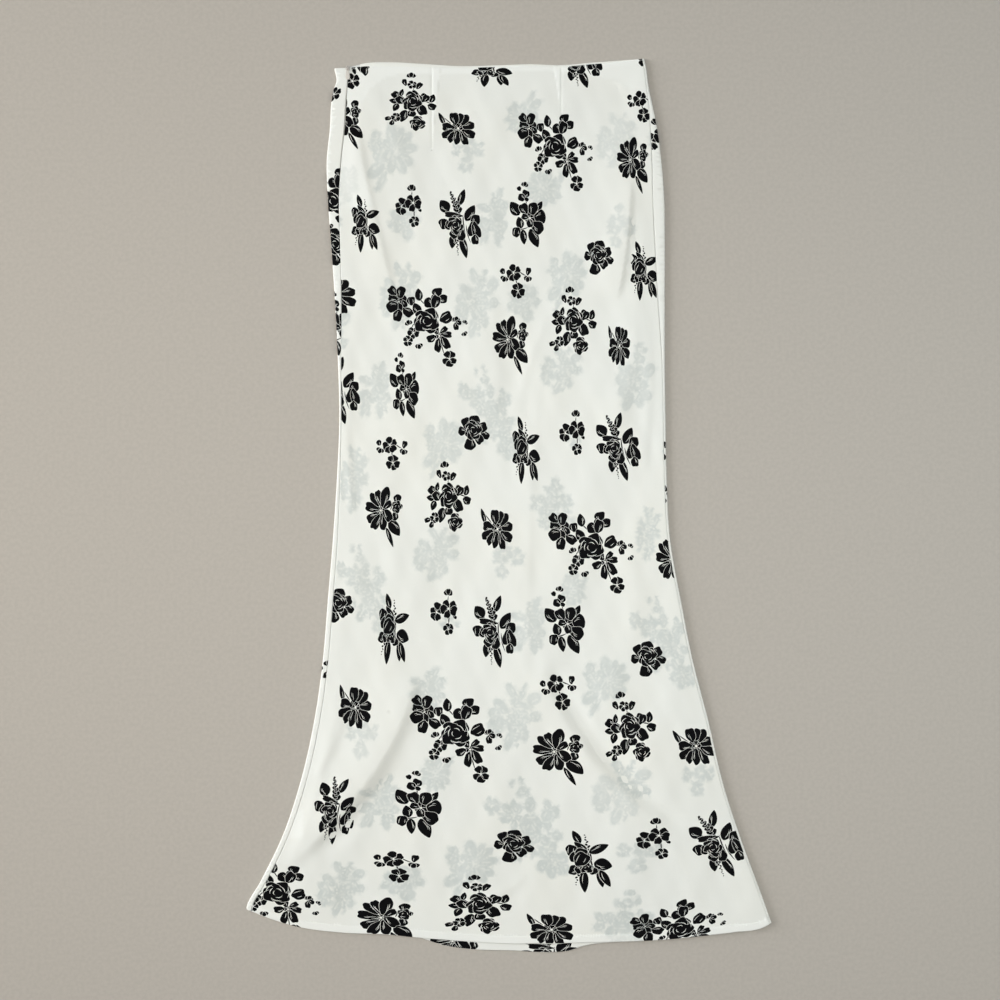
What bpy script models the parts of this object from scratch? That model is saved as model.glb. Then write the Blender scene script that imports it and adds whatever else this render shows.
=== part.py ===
"""Maxi skirt laid flat on its back, with a side zip. Metres, +Z up, waist toward +Y, face up.

The back panel lies on the floor and rolls round both sides onto the top, up to the side seams. The front
panel lies between those seams. Places are given by x and by "down", the distance below the highest point
of the waist. The origin is at the middle of the skirt's box, on the floor.
"""

import math
from typing import Callable, NamedTuple

import bmesh
import bpy
import numpy as np

# Driving sizes of the cloth.
LENGTH = 1.009  # from the highest point of the waist to the lowest of the hem
CLOTH = 0.0010  # wall of every cloth piece
GAP = 0.0003  # between pieces that are sewn together or lie on each other
LAYER = CLOTH + GAP
FRONT_UNDERSIDE = 2 * LAYER  # the front lies on the back and on the strips inside it
TOP = FRONT_UNDERSIDE + CLOTH  # the upper face of the cloth where it has no crease
ROLL = TOP / 2  # outer radius of the side folds
LOWEST_DIP = -(LAYER - 0.00005)  # a crease sinks this far at most, onto the back
HIGHEST_RISE = 0.0023
SIDE_FADE = 0.022  # creases die out this far from the seams
END_FADE = 0.045  # and this far from the waist and the hem

# The strips inside the back.
FACING_DEPTH = 0.010
HEM_DEPTH = 0.009
STRIP_INSET = 0.0004  # a facing or hem stops this far inside its panel's edge
FACING_LEFT_END = -0.168  # the facing stops beside the zip
FACING_RIGHT_END = 0.148
HEM_END_MARGIN = 0.005  # from the side folds to the ends of the hem strip

# The zip. On the slider, "along" runs from the pull tab's hinge toward the waist.
HINGE_DOWN = 0.0126
HINGE_Z = 0.00575
SLIDER_HALF_WIDTH = 0.0022
SLIDER_LOWER_END = -0.0032
SLIDER_UPPER_END = -0.0020
SLIDER_WAIST_END = 0.0033
SLIDER_POST = 0.0010
UPPER_PLATE = 0.0008
CROWN_INNER = 0.0009
CROWN_OUTER = 0.0016
CROWN_HALF_WIDTH = 0.00045
PULL_LENGTH = 0.0123
PULL_THICKNESS = 0.0009
PULL_EYE_HALF_WIDTH = 0.00085
PULL_EYE_START = 0.0004
PULL_EYE_END = 0.0027
ZIP_TOP = HINGE_DOWN - SLIDER_LOWER_END + GAP
ZIP_BOTTOM = 0.165
ZIP_TAPE_HALF = 0.0065

# How finely the pieces are divided.
FRONT_COLUMNS = 32
PANEL_ROWS = 52
FLOOR_COLUMNS = 18
ROLL_STEPS = 4
STRIP_COLUMNS = 30
TAPE_ROWS = 12
CROWN_STEPS = 8
CREASE_SAMPLES = 25
ROW_CROWDING = 1.25  # rows lie closer together toward the waist
SETTLING_ROUNDS = 6
WELD = 0.000001


class Level(NamedTuple):
    """The skirt's side edges at one height, and how far the back shows on top inside each."""

    down: float
    left: float
    right: float
    left_wrap: float
    right_wrap: float


class WaistPoint(NamedTuple):
    """The waist edges at one x, both as distances down."""

    x: float
    back: float
    front: float


class HemPoint(NamedTuple):
    """The front's hem edge at one x as a distance down, and how far the back hangs below it."""

    x: float
    front: float
    back_drop: float


class Crease(NamedTuple):
    """A soft fold along an arc through three places: how high it rises and how far it reaches sideways."""

    start_x: float
    start_down: float
    middle_x: float
    middle_down: float
    end_x: float
    end_down: float
    rise: float
    reach: float


class PullWidth(NamedTuple):
    """Half the pull tab's width at a distance from its hinge toward its tip."""

    along: float
    half_width: float


class BackColumn(NamedTuple):
    """One line of the back panel from waist to hem.

    It lies at a share across from the left side to the right one. It stands inside the edge by a number of
    roll radii and by a share of the way from the fold to the seam.
    """

    across: float
    roll_radii: float
    wrap_share: float
    height: float


LEVELS = [
    Level(0.000, -0.1975, 0.1527, 0.0160, 0.0026),
    Level(0.012, -0.1968, 0.1551, 0.0155, 0.0026),
    Level(0.030, -0.1907, 0.1574, 0.0090, 0.0026),
    Level(0.046, -0.1997, 0.1607, 0.0166, 0.0038),
    Level(0.080, -0.2020, 0.1675, 0.0168, 0.0079),
    Level(0.114, -0.2054, 0.1720, 0.0166, 0.0105),
    Level(0.159, -0.2042, 0.1754, 0.0127, 0.0130),
    Level(0.204, -0.2009, 0.1760, 0.0105, 0.0116),
    Level(0.272, -0.1963, 0.1760, 0.0077, 0.0079),
    Level(0.340, -0.1929, 0.1760, 0.0040, 0.0034),
    Level(0.408, -0.1913, 0.1769, 0.0026, 0.0026),
    Level(0.476, -0.1941, 0.1782, 0.0040, 0.0026),
    Level(0.544, -0.1986, 0.1822, 0.0056, 0.0026),
    Level(0.611, -0.2042, 0.1941, 0.0062, 0.0026),
    Level(0.679, -0.2099, 0.2076, 0.0064, 0.0026),
    Level(0.747, -0.2195, 0.2251, 0.0066, 0.0026),
    Level(0.815, -0.2348, 0.2410, 0.0068, 0.0026),
    Level(0.882, -0.2574, 0.2624, 0.0068, 0.0026),
    Level(0.928, -0.2799, 0.2794, 0.0068, 0.0026),
    Level(0.959, -0.2963, 0.2907, 0.0068, 0.0026),
    Level(0.975, -0.2963, 0.2963, 0.0068, 0.0026),
]

WAIST = [
    WaistPoint(-0.198, 0.0119, 0.0119),
    WaistPoint(-0.179, 0.0090, 0.0111),
    WaistPoint(-0.162, 0.0051, 0.0096),
    WaistPoint(-0.134, 0.0040, 0.0094),
    WaistPoint(-0.100, 0.0057, 0.0104),
    WaistPoint(-0.055, 0.0083, 0.0113),
    WaistPoint(-0.010, 0.0073, 0.0101),
    WaistPoint(0.024, 0.0062, 0.0090),
    WaistPoint(0.058, 0.0073, 0.0100),
    WaistPoint(0.092, 0.0045, 0.0073),
    WaistPoint(0.122, 0.0024, 0.0048),
    WaistPoint(0.153, 0.0000, 0.0006),
]

HEM = [
    HemPoint(-0.2963, 0.9594, -0.0010),
    HemPoint(-0.2675, 0.9707, -0.0010),
    HemPoint(-0.2359, 0.9797, -0.0010),
    HemPoint(-0.1884, 0.9859, -0.0010),
    HemPoint(-0.1331, 0.9883, -0.0010),
    HemPoint(-0.1070, 0.9911, 0.0000),
    HemPoint(-0.0710, 0.9940, 0.0077),
    HemPoint(-0.0340, 0.9967, 0.0096),
    HemPoint(0.0040, 0.9985, 0.0088),
    HemPoint(0.0430, 0.9979, 0.0111),
    HemPoint(0.0670, 0.9976, 0.0099),
    HemPoint(0.0830, 0.9972, 0.0053),
    HemPoint(0.1257, 0.9962, 0.0008),
    HemPoint(0.1822, 0.9933, -0.0010),
    HemPoint(0.2229, 0.9891, -0.0010),
    HemPoint(0.2545, 0.9854, -0.0010),
    HemPoint(0.2862, 0.9804, -0.0010),
    HemPoint(0.2963, 0.9752, -0.0010),
]

CREASES = [
    Crease(-0.166, 0.041, -0.155, 0.159, -0.100, 0.420, -0.0012, 0.010),  # sweep below the left hip
    Crease(-0.177, 0.240, -0.152, 0.374, -0.112, 0.540, 0.0020, 0.014),  # roll beside it
    Crease(-0.062, 0.430, -0.060, 0.520, -0.070, 0.620, 0.0012, 0.011),  # left of the middle
    Crease(0.013, 0.350, 0.017, 0.504, 0.016, 0.690, 0.0017, 0.010),  # down the middle
    Crease(0.050, 0.440, 0.046, 0.530, 0.053, 0.640, -0.0009, 0.010),  # dip right of the middle
    Crease(0.145, 0.150, 0.130, 0.229, 0.108, 0.350, -0.0012, 0.011),  # dip below the right hip
    Crease(0.160, 0.110, 0.158, 0.300, 0.150, 0.480, 0.0018, 0.011),  # roll along the right side
    Crease(0.141, 0.490, 0.135, 0.600, 0.150, 0.740, 0.0015, 0.013),  # its lower half
    Crease(-0.120, 0.700, -0.157, 0.803, -0.246, 0.900, 0.0023, 0.015),  # fold across the left hem
    Crease(-0.100, 0.720, -0.130, 0.815, -0.222, 0.915, -0.0011, 0.012),  # dip under that fold
    Crease(0.046, 0.675, 0.098, 0.775, 0.205, 0.880, 0.0023, 0.015),  # fold across the right hem
    Crease(0.028, 0.690, 0.078, 0.792, 0.170, 0.890, -0.0010, 0.012),  # dip under that fold
]

PULL_SHAPE = [
    PullWidth(-0.0004, 0.0012),
    PullWidth(0.0000, 0.0016),
    PullWidth(0.0030, 0.0017),
    PullWidth(0.0060, 0.0021),
    PullWidth(0.0090, 0.0025),
    PullWidth(0.0108, 0.0023),
    PullWidth(0.0119, 0.0014),
    PullWidth(PULL_LENGTH, 0.0004),
]

Curve = Callable[[np.ndarray], np.ndarray]
Outline = list[tuple[float, float]]


def columns_of(rows: list[NamedTuple]) -> dict[str, np.ndarray]:
    """The columns of a table by name."""
    return {name: np.array([getattr(row, name) for row in rows]) for name in rows[0]._fields}


SIDES = columns_of(LEVELS)
WAISTLINE = columns_of(WAIST)
HEMLINE = columns_of(HEM)


def through(at: np.ndarray, stations: np.ndarray, values: np.ndarray) -> np.ndarray:
    """Reads the smooth curve through the values at the stations, held level past its ends."""
    slopes = np.gradient(values, stations)
    at = np.clip(at, stations[0], stations[-1])
    index = np.clip(np.searchsorted(stations, at, side="right") - 1, 0, len(stations) - 2)
    span = stations[index + 1] - stations[index]
    s = (at - stations[index]) / span
    start = values[index] * (1 + 2 * s) * (1 - s) ** 2 + slopes[index] * span * s * (1 - s) ** 2
    end = values[index + 1] * s * s * (3 - 2 * s) - slopes[index + 1] * span * s * s * (1 - s)
    return start + end


def side(name: str, down: np.ndarray) -> np.ndarray:
    """One of the side columns at a distance down."""
    return through(down, SIDES["down"], SIDES[name])


def left_seam(down: np.ndarray) -> np.ndarray:
    """x of the left side seam."""
    return side("left", down) + side("left_wrap", down)


def right_seam(down: np.ndarray) -> np.ndarray:
    """x of the right side seam."""
    return side("right", down) - side("right_wrap", down)


def front_waist(x: np.ndarray) -> np.ndarray:
    """The front's waist edge, as a distance down."""
    return through(x, WAISTLINE["x"], WAISTLINE["front"])


def back_waist(x: np.ndarray) -> np.ndarray:
    """The back's waist edge, as a distance down."""
    return through(x, WAISTLINE["x"], WAISTLINE["back"])


def front_hem(x: np.ndarray) -> np.ndarray:
    """The front's hem edge, as a distance down."""
    return through(x, HEMLINE["x"], HEMLINE["front"])


def back_hem(x: np.ndarray) -> np.ndarray:
    """The back's hem edge, as a distance down."""
    return np.minimum(front_hem(x) + through(x, HEMLINE["x"], HEMLINE["back_drop"]), LENGTH)


def smooth_step(value: np.ndarray) -> np.ndarray:
    """0 below 0, 1 above 1, and a soft rise between."""
    s = np.clip(value, 0.0, 1.0)
    return s * s * (3 - 2 * s)


def crease_height(crease: Crease, x: np.ndarray, down: np.ndarray) -> np.ndarray:
    """How far one crease lifts the cloth at each place."""
    start = np.array([crease.start_x, crease.start_down])
    middle = np.array([crease.middle_x, crease.middle_down])
    end = np.array([crease.end_x, crease.end_down])
    handle = 2 * middle - (start + end) / 2
    t = np.linspace(0.0, 1.0, CREASE_SAMPLES)[:, None]
    line = start * (1 - t) ** 2 + handle * 2 * t * (1 - t) + end * t * t
    distance = np.hypot(x[:, None] - line[None, :, 0], down[:, None] - line[None, :, 1])
    strength = np.sin(math.pi * t[distance.argmin(axis=1), 0]) ** 0.7
    return crease.rise * strength * np.exp(-((distance.min(axis=1) / crease.reach) ** 2))


def relief(x: np.ndarray, down: np.ndarray) -> np.ndarray:
    """How far all creases together lift the front above its resting level."""
    total = sum(crease_height(crease, x, down) for crease in CREASES)
    from_side = np.minimum(x - left_seam(down), right_seam(down) - x)
    from_end = np.minimum(down - front_waist(x), front_hem(x) - down)
    total = total * smooth_step(from_side / SIDE_FADE) * smooth_step(from_end / END_FADE)
    return np.clip(total, LOWEST_DIP, HIGHEST_RISE)


def spanned(
    u: np.ndarray, v: np.ndarray, left: Curve, right: Curve, top: Curve, bottom: Curve
) -> tuple[np.ndarray, np.ndarray]:
    """x and down at the shares u across and v down of a piece with four curved edges."""
    x = np.zeros_like(u)
    for _ in range(SETTLING_ROUNDS):
        down = top(x) * (1 - v) + bottom(x) * v
        x = left(down) * (1 - u) + right(down) * u
    return x, down


def placed(x: np.ndarray, down: np.ndarray, z: np.ndarray | float) -> np.ndarray:
    """World points from x, distance down and height."""
    return np.stack([x, LENGTH / 2 - down, np.broadcast_to(z, x.shape)], axis=1)


def front_points(u: np.ndarray, v: np.ndarray) -> np.ndarray:
    """The underside of the front panel."""
    x, down = spanned(
        u,
        v**ROW_CROWDING,
        lambda at: left_seam(at) + GAP,
        lambda at: right_seam(at) - GAP,
        front_waist,
        front_hem,
    )
    return placed(x, down, FRONT_UNDERSIDE + relief(x, down))


def back_section() -> list[BackColumn]:
    """Columns round the back panel: from the left seam round under the skirt to the right seam."""
    turn = [math.pi / 2 * (1 + 2 * step / ROLL_STEPS) for step in range(ROLL_STEPS + 1)]
    roll = [(1 + math.cos(angle), ROLL * (1 + math.sin(angle))) for angle in turn]
    wraps = (1.0, 0.5)
    left_wrap = [BackColumn(0.0, 1.0, share, TOP) for share in wraps]
    left_roll = [BackColumn(0.0, radii, 0.0, height) for radii, height in roll]
    floor = [BackColumn(step / FLOOR_COLUMNS, 1.0, 0.0, 0.0) for step in range(1, FLOOR_COLUMNS)]
    right_roll = [BackColumn(1.0, radii, 0.0, height) for radii, height in reversed(roll)]
    right_wrap = [BackColumn(1.0, 1.0, share, TOP) for share in reversed(wraps)]
    return left_wrap + left_roll + floor + right_roll + right_wrap


def back_points(u: np.ndarray, v: np.ndarray) -> np.ndarray:
    """The outer face of the back panel."""
    section = np.array(back_section())
    across, roll_radii, wrap_share, height = section[np.rint(u * (len(section) - 1)).astype(int)].T
    upper = height / TOP
    rows = v**ROW_CROWDING
    x = np.zeros_like(u)
    for _ in range(SETTLING_ROUNDS):
        top = back_waist(x) * (1 - upper) + front_waist(x) * upper
        bottom = back_hem(x) * (1 - upper) + front_hem(x) * upper
        down = top * (1 - rows) + bottom * rows
        rolled = ROLL * roll_radii
        left = side("left", down) + rolled + wrap_share * (side("left_wrap", down) - ROLL)
        right = side("right", down) - rolled - wrap_share * (side("right_wrap", down) - ROLL)
        x = left * (1 - across) + right * across
    return placed(x, down, height)


def facing_points(u: np.ndarray, v: np.ndarray) -> np.ndarray:
    """The underside of the facing, inside the back's waist edge."""
    x = FACING_LEFT_END * (1 - u) + FACING_RIGHT_END * u
    return placed(x, back_waist(x) + STRIP_INSET + FACING_DEPTH * v, LAYER)


def hem_points(u: np.ndarray, v: np.ndarray) -> np.ndarray:
    """The underside of the back's turned-up hem."""
    x, down = spanned(
        u,
        v,
        lambda at: side("left", at) + HEM_END_MARGIN,
        lambda at: side("right", at) - HEM_END_MARGIN,
        lambda at: back_hem(at) - STRIP_INSET - HEM_DEPTH,
        lambda at: back_hem(at) - STRIP_INSET,
    )
    return placed(x, down, LAYER)


def zip_points(u: np.ndarray, v: np.ndarray) -> np.ndarray:
    """The underside of the closed zip's tapes, along the left seam below the slider."""
    down = ZIP_TOP * (1 - v) + ZIP_BOTTOM * v
    return placed(left_seam(down) + ZIP_TAPE_HALF * (2 * u - 1), down, LAYER)


def paint(
    name: str, colour: tuple[float, float, float], roughness: float, metallic: float = 0.0
) -> bpy.types.Material:
    """A plain Principled material."""
    material = bpy.data.materials.new(name)
    material.use_nodes = True
    shader = material.node_tree.nodes["Principled BSDF"]
    shader.inputs["Base Color"].default_value = (*colour, 1.0)
    shader.inputs["Roughness"].default_value = roughness
    shader.inputs["Metallic"].default_value = metallic
    return material


def cloth_piece(
    name: str,
    columns: int,
    rows: int,
    points: Callable[[np.ndarray, np.ndarray], np.ndarray],
    material: bpy.types.Material,
    collection: bpy.types.Collection,
) -> bpy.types.Object:
    """A cloth wall on a grid whose points are given by their shares across and down."""
    mesh = bpy.data.meshes.new(name)
    grid = bmesh.new()
    bmesh.ops.create_grid(grid, x_segments=columns, y_segments=rows, size=0.5)
    u = np.array([vertex.co.x + 0.5 for vertex in grid.verts])
    v = np.clip([0.5 - vertex.co.y for vertex in grid.verts], 0.0, 1.0)
    for vertex, point in zip(grid.verts, points(u, v)):
        vertex.co = point
    grid.to_mesh(mesh)
    grid.free()
    mesh.materials.append(material)
    mesh.shade_smooth()
    piece = bpy.data.objects.new(name, mesh)
    collection.objects.link(piece)
    wall = piece.modifiers.new("wall", "SOLIDIFY")
    wall.thickness = CLOTH
    wall.offset = 1.0
    wall.use_even_offset = True
    return piece


def plate(
    name: str, loops: list[Outline], thickness: float, collection: bpy.types.Collection
) -> bpy.types.Object:
    """A plate of the given thickness inside closed outlines, with its caps welded on."""
    curve = bpy.data.curves.new(name, "CURVE")
    curve.dimensions = "2D"
    curve.fill_mode = "BOTH"
    curve.extrude = thickness / 2
    for loop in loops:
        spline = curve.splines.new("POLY")
        spline.points.add(len(loop) - 1)
        for point, (x, y) in zip(spline.points, loop):
            point.co = (x, y, 0.0, 1.0)
        spline.use_cyclic_u = True
    drawn = bpy.data.objects.new(name + "_outline", curve)
    collection.objects.link(drawn)
    evaluated = drawn.evaluated_get(bpy.context.evaluated_depsgraph_get())
    mesh = bpy.data.meshes.new_from_object(evaluated)
    bpy.data.objects.remove(drawn)
    welded = bmesh.new()
    welded.from_mesh(mesh)
    bmesh.ops.remove_doubles(welded, verts=welded.verts, dist=WELD)
    bmesh.ops.recalc_face_normals(welded, faces=welded.faces)
    welded.to_mesh(mesh)
    welded.free()
    piece = bpy.data.objects.new(name, mesh)
    collection.objects.link(piece)
    return piece


def slider_side() -> Outline:
    """The slider from its side: a plate under the cloth and one over it, joined above the waist edge."""
    lower = LAYER - HINGE_Z
    over = TOP + GAP - HINGE_Z
    return [
        (SLIDER_LOWER_END, lower),
        (SLIDER_WAIST_END, lower),
        (SLIDER_WAIST_END, over + UPPER_PLATE),
        (SLIDER_UPPER_END, over + UPPER_PLATE),
        (SLIDER_UPPER_END, over),
        (SLIDER_WAIST_END - SLIDER_POST, over),
        (SLIDER_WAIST_END - SLIDER_POST, lower + CLOTH),
        (SLIDER_LOWER_END, lower + CLOTH),
    ]


def crown_side() -> Outline:
    """The arch on the slider that holds the pull tab, from its side, with its feet sunk in the plate."""
    foot = TOP + GAP + UPPER_PLATE / 2 - HINGE_Z
    turn = [math.pi * step / CROWN_STEPS for step in range(CROWN_STEPS + 1)]
    outer = [(CROWN_OUTER * math.cos(angle), CROWN_OUTER * math.sin(angle)) for angle in turn]
    inner = [(CROWN_INNER * math.cos(angle), CROWN_INNER * math.sin(angle)) for angle in reversed(turn)]
    feet = [(-CROWN_OUTER, foot), (-CROWN_INNER, foot)]
    return [(CROWN_OUTER, foot), *outer, *feet, *inner, (CROWN_INNER, foot)]


def pull_loops() -> list[Outline]:
    """The drop-shaped outline of the pull tab and its eye, with the tip toward -Y."""
    right = [(row.half_width, -row.along) for row in PULL_SHAPE]
    left = [(-x, y) for x, y in reversed(right)]
    eye = [
        (PULL_EYE_HALF_WIDTH, -PULL_EYE_START),
        (PULL_EYE_HALF_WIDTH, -PULL_EYE_END),
        (-PULL_EYE_HALF_WIDTH, -PULL_EYE_END),
        (-PULL_EYE_HALF_WIDTH, -PULL_EYE_START),
    ]
    return [right + left, eye]


def fresh_collection(name: str) -> bpy.types.Collection:
    """An empty collection in the scene."""
    collection = bpy.data.collections.new(name)
    bpy.context.scene.collection.children.link(collection)
    return collection


def build_zip_head(skirt: bpy.types.Collection, cutters: bpy.types.Collection) -> None:
    """The slider with its crown, and the pull tab on its hinge, resting on the cloth."""
    hinge = (float(left_seam(np.array([HINGE_DOWN]))[0]), LENGTH / 2 - HINGE_DOWN, HINGE_Z)
    enamel = paint("zip_enamel", (0.78, 0.75, 0.71), 0.38, 0.1)

    slider = plate("zip_slider", [slider_side()], 2 * SLIDER_HALF_WIDTH, skirt)
    crown = plate("zip_crown", [crown_side()], 2 * CROWN_HALF_WIDTH, cutters)
    for piece in (slider, crown):
        # The outline's x runs toward the waist, and its y upward.
        piece.rotation_euler = (math.pi / 2, 0.0, math.pi / 2)
        piece.location = hinge
    crown.hide_render = True
    crown.display_type = "WIRE"
    joined = slider.modifiers.new("crown", "BOOLEAN")
    joined.operation = "UNION"
    joined.object = crown
    slider.data.materials.append(enamel)

    pull = plate("zip_pull", pull_loops(), PULL_THICKNESS, skirt)
    tip_drop = HINGE_Z - PULL_THICKNESS / 2 - TOP - GAP
    pull.rotation_euler = (math.asin(tip_drop / PULL_LENGTH), 0.0, 0.0)
    pull.location = hinge
    pull.data.materials.append(enamel)


def main() -> None:
    """Clears the scene and builds the skirt."""
    for old in list(bpy.data.objects):
        bpy.data.objects.remove(old, do_unlink=True)
    skirt = fresh_collection("maxi_skirt")
    cutters = fresh_collection("cutters")

    printed = paint("printed_crepe", (0.80, 0.82, 0.77), 0.62)
    plain = paint("plain_crepe", (0.84, 0.84, 0.78), 0.62)
    tape = paint("zip_tape", (0.86, 0.86, 0.82), 0.70)

    cloth_piece("front_panel", FRONT_COLUMNS, PANEL_ROWS, front_points, printed, skirt)
    cloth_piece("back_panel", len(back_section()) - 1, PANEL_ROWS, back_points, printed, skirt)
    cloth_piece("back_facing", STRIP_COLUMNS, 1, facing_points, plain, skirt)
    cloth_piece("back_hem", STRIP_COLUMNS, 1, hem_points, printed, skirt)
    cloth_piece("side_zip", 1, TAPE_ROWS, zip_points, tape, skirt)
    build_zip_head(skirt, cutters)


main()
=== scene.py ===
"""Maxi skirt laid flat, face up: its cloth, print, side zip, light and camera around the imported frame.

Metres, +Z up, waist toward +Y. Places on the skirt are given by x and by "down", the distance below the
highest point of the waist. Each cloth piece is drawn flat as a pattern, its print is cut into the pattern's
faces, and the finished shell is then laid on the form of its solid.
"""

import logging
import math
from dataclasses import dataclass, field
from enum import Enum
from typing import Callable, NamedTuple, Sequence

import bmesh
import bpy
import numpy as np
from mathutils import Matrix, Vector
from mathutils.geometry import delaunay_2d_cdt


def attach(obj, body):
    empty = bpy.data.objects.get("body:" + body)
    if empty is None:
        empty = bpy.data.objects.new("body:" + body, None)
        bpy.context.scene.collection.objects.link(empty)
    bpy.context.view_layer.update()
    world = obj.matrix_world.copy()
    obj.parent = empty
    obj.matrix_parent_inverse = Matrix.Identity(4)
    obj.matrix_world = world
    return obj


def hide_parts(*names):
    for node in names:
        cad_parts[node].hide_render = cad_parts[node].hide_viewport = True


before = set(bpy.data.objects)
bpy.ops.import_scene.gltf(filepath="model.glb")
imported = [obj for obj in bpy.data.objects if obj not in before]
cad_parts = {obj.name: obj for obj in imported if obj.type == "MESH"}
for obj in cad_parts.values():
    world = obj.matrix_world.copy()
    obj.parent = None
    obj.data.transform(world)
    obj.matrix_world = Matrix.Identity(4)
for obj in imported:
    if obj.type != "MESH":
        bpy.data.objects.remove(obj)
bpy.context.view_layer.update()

LOG = logging.getLogger("maxi_skirt")
MM = 0.001

Curve = Callable[[np.ndarray], np.ndarray]
Surface = Callable[[np.ndarray, np.ndarray, np.ndarray], np.ndarray]
Colour = tuple[float, float, float]
Length = float | np.ndarray
Socket = bpy.types.NodeSocket


# The skirt's outline, as in its solids.


class Level(NamedTuple):
    """The skirt's side edges at one height, and how far the back shows on top inside each."""

    down: float
    left: float
    right: float
    left_wrap: float
    right_wrap: float


class WaistPoint(NamedTuple):
    """The waist edges at one x, both as distances down."""

    x: float
    back: float
    front: float


class HemPoint(NamedTuple):
    """The front's hem edge at one x as a distance down, and how far the back hangs below it."""

    x: float
    front: float
    back_drop: float


LEVELS = [
    Level(*row)
    for row in (
        (0.0, -0.1975, 0.1527, 0.016, 0.0026), (0.012, -0.1968, 0.1551, 0.0155, 0.0026),
        (0.0265, -0.1945, 0.157, 0.0128, 0.0026), (0.0345, -0.1975, 0.1582, 0.0154, 0.0029),
        (0.046, -0.1997, 0.1607, 0.0166, 0.0038), (0.08, -0.202, 0.1675, 0.0168, 0.0079),
        (0.114, -0.2054, 0.172, 0.0166, 0.0105), (0.159, -0.2042, 0.1754, 0.0127, 0.013),
        (0.204, -0.2009, 0.176, 0.0105, 0.0116), (0.272, -0.1963, 0.176, 0.0077, 0.0079),
        (0.34, -0.1929, 0.176, 0.004, 0.0034), (0.408, -0.1913, 0.1769, 0.0026, 0.0026),
        (0.476, -0.1941, 0.1782, 0.004, 0.0026), (0.544, -0.1986, 0.1822, 0.0056, 0.0026),
        (0.611, -0.2042, 0.1941, 0.0062, 0.0026), (0.679, -0.2099, 0.2076, 0.0064, 0.0026),
        (0.747, -0.2195, 0.2251, 0.0066, 0.0026), (0.815, -0.2348, 0.241, 0.0068, 0.0026),
        (0.882, -0.2574, 0.2624, 0.0068, 0.0026), (0.928, -0.2799, 0.2794, 0.0068, 0.0026),
        (0.959, -0.2963, 0.2907, 0.0068, 0.0026), (0.975, -0.2963, 0.2963, 0.0068, 0.0026),
    )
]

WAIST = [
    WaistPoint(*row)
    for row in (
        (-0.198, 0.0119, 0.0119), (-0.179, 0.009, 0.0111), (-0.162, 0.0051, 0.0096),
        (-0.134, 0.004, 0.0094), (-0.1, 0.0057, 0.0104), (-0.055, 0.0083, 0.0113), (-0.01, 0.0073, 0.0101),
        (0.024, 0.0062, 0.009), (0.058, 0.0073, 0.01), (0.092, 0.0045, 0.0073), (0.122, 0.0024, 0.0048),
        (0.153, 0.0, 0.0006),
    )
]

HEM = [
    HemPoint(*row)
    for row in (
        (-0.2963, 0.9594, -0.001), (-0.2675, 0.9707, -0.001), (-0.2359, 0.9797, -0.001),
        (-0.1884, 0.9859, -0.001), (-0.1331, 0.9883, -0.001), (-0.107, 0.9911, 0.0),
        (-0.071, 0.994, 0.0077), (-0.034, 0.9967, 0.0096), (0.004, 0.9985, 0.0088), (0.043, 0.9979, 0.0111),
        (0.067, 0.9976, 0.0099), (0.083, 0.9972, 0.0053), (0.1257, 0.9962, 0.0008),
        (0.1822, 0.9933, -0.001), (0.2229, 0.9891, -0.001), (0.2545, 0.9854, -0.001),
        (0.2862, 0.9804, -0.001), (0.2963, 0.9752, -0.001),
    )
]


def columns_of(rows: Sequence[NamedTuple]) -> dict[str, np.ndarray]:
    """The columns of a table by name."""
    return {name: np.array([getattr(row, name) for row in rows]) for name in rows[0]._fields}


def through(at: np.ndarray, stations: np.ndarray, values: np.ndarray) -> np.ndarray:
    """Reads a smooth curve, held level past its ends.

    Args:
        at: Where to read it.
        stations: Where its values are known, rising.
        values: The known values.

    Returns:
        The curve's value at each place.
    """
    slopes = np.gradient(values, stations)
    at = np.clip(at, stations[0], stations[-1])
    index = np.clip(np.searchsorted(stations, at, side="right") - 1, 0, len(stations) - 2)
    span = stations[index + 1] - stations[index]
    s = (at - stations[index]) / span
    start = values[index] * (1 + 2 * s) * (1 - s) ** 2 + slopes[index] * span * s * (1 - s) ** 2
    end = values[index + 1] * s * s * (3 - 2 * s) - slopes[index + 1] * span * s * s * (1 - s)
    return start + end


def smooth_step(value: np.ndarray) -> np.ndarray:
    """0 below 0, 1 above 1, and a soft rise between."""
    s = np.clip(value, 0.0, 1.0)
    return s * s * (3 - 2 * s)


def band(value: np.ndarray, low: float, high: float, soft: float) -> np.ndarray:
    """1 between low and high, fading to 0 over a soft border outside them."""
    return smooth_step((value - low) / soft + 1) * smooth_step((high - value) / soft + 1)


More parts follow.
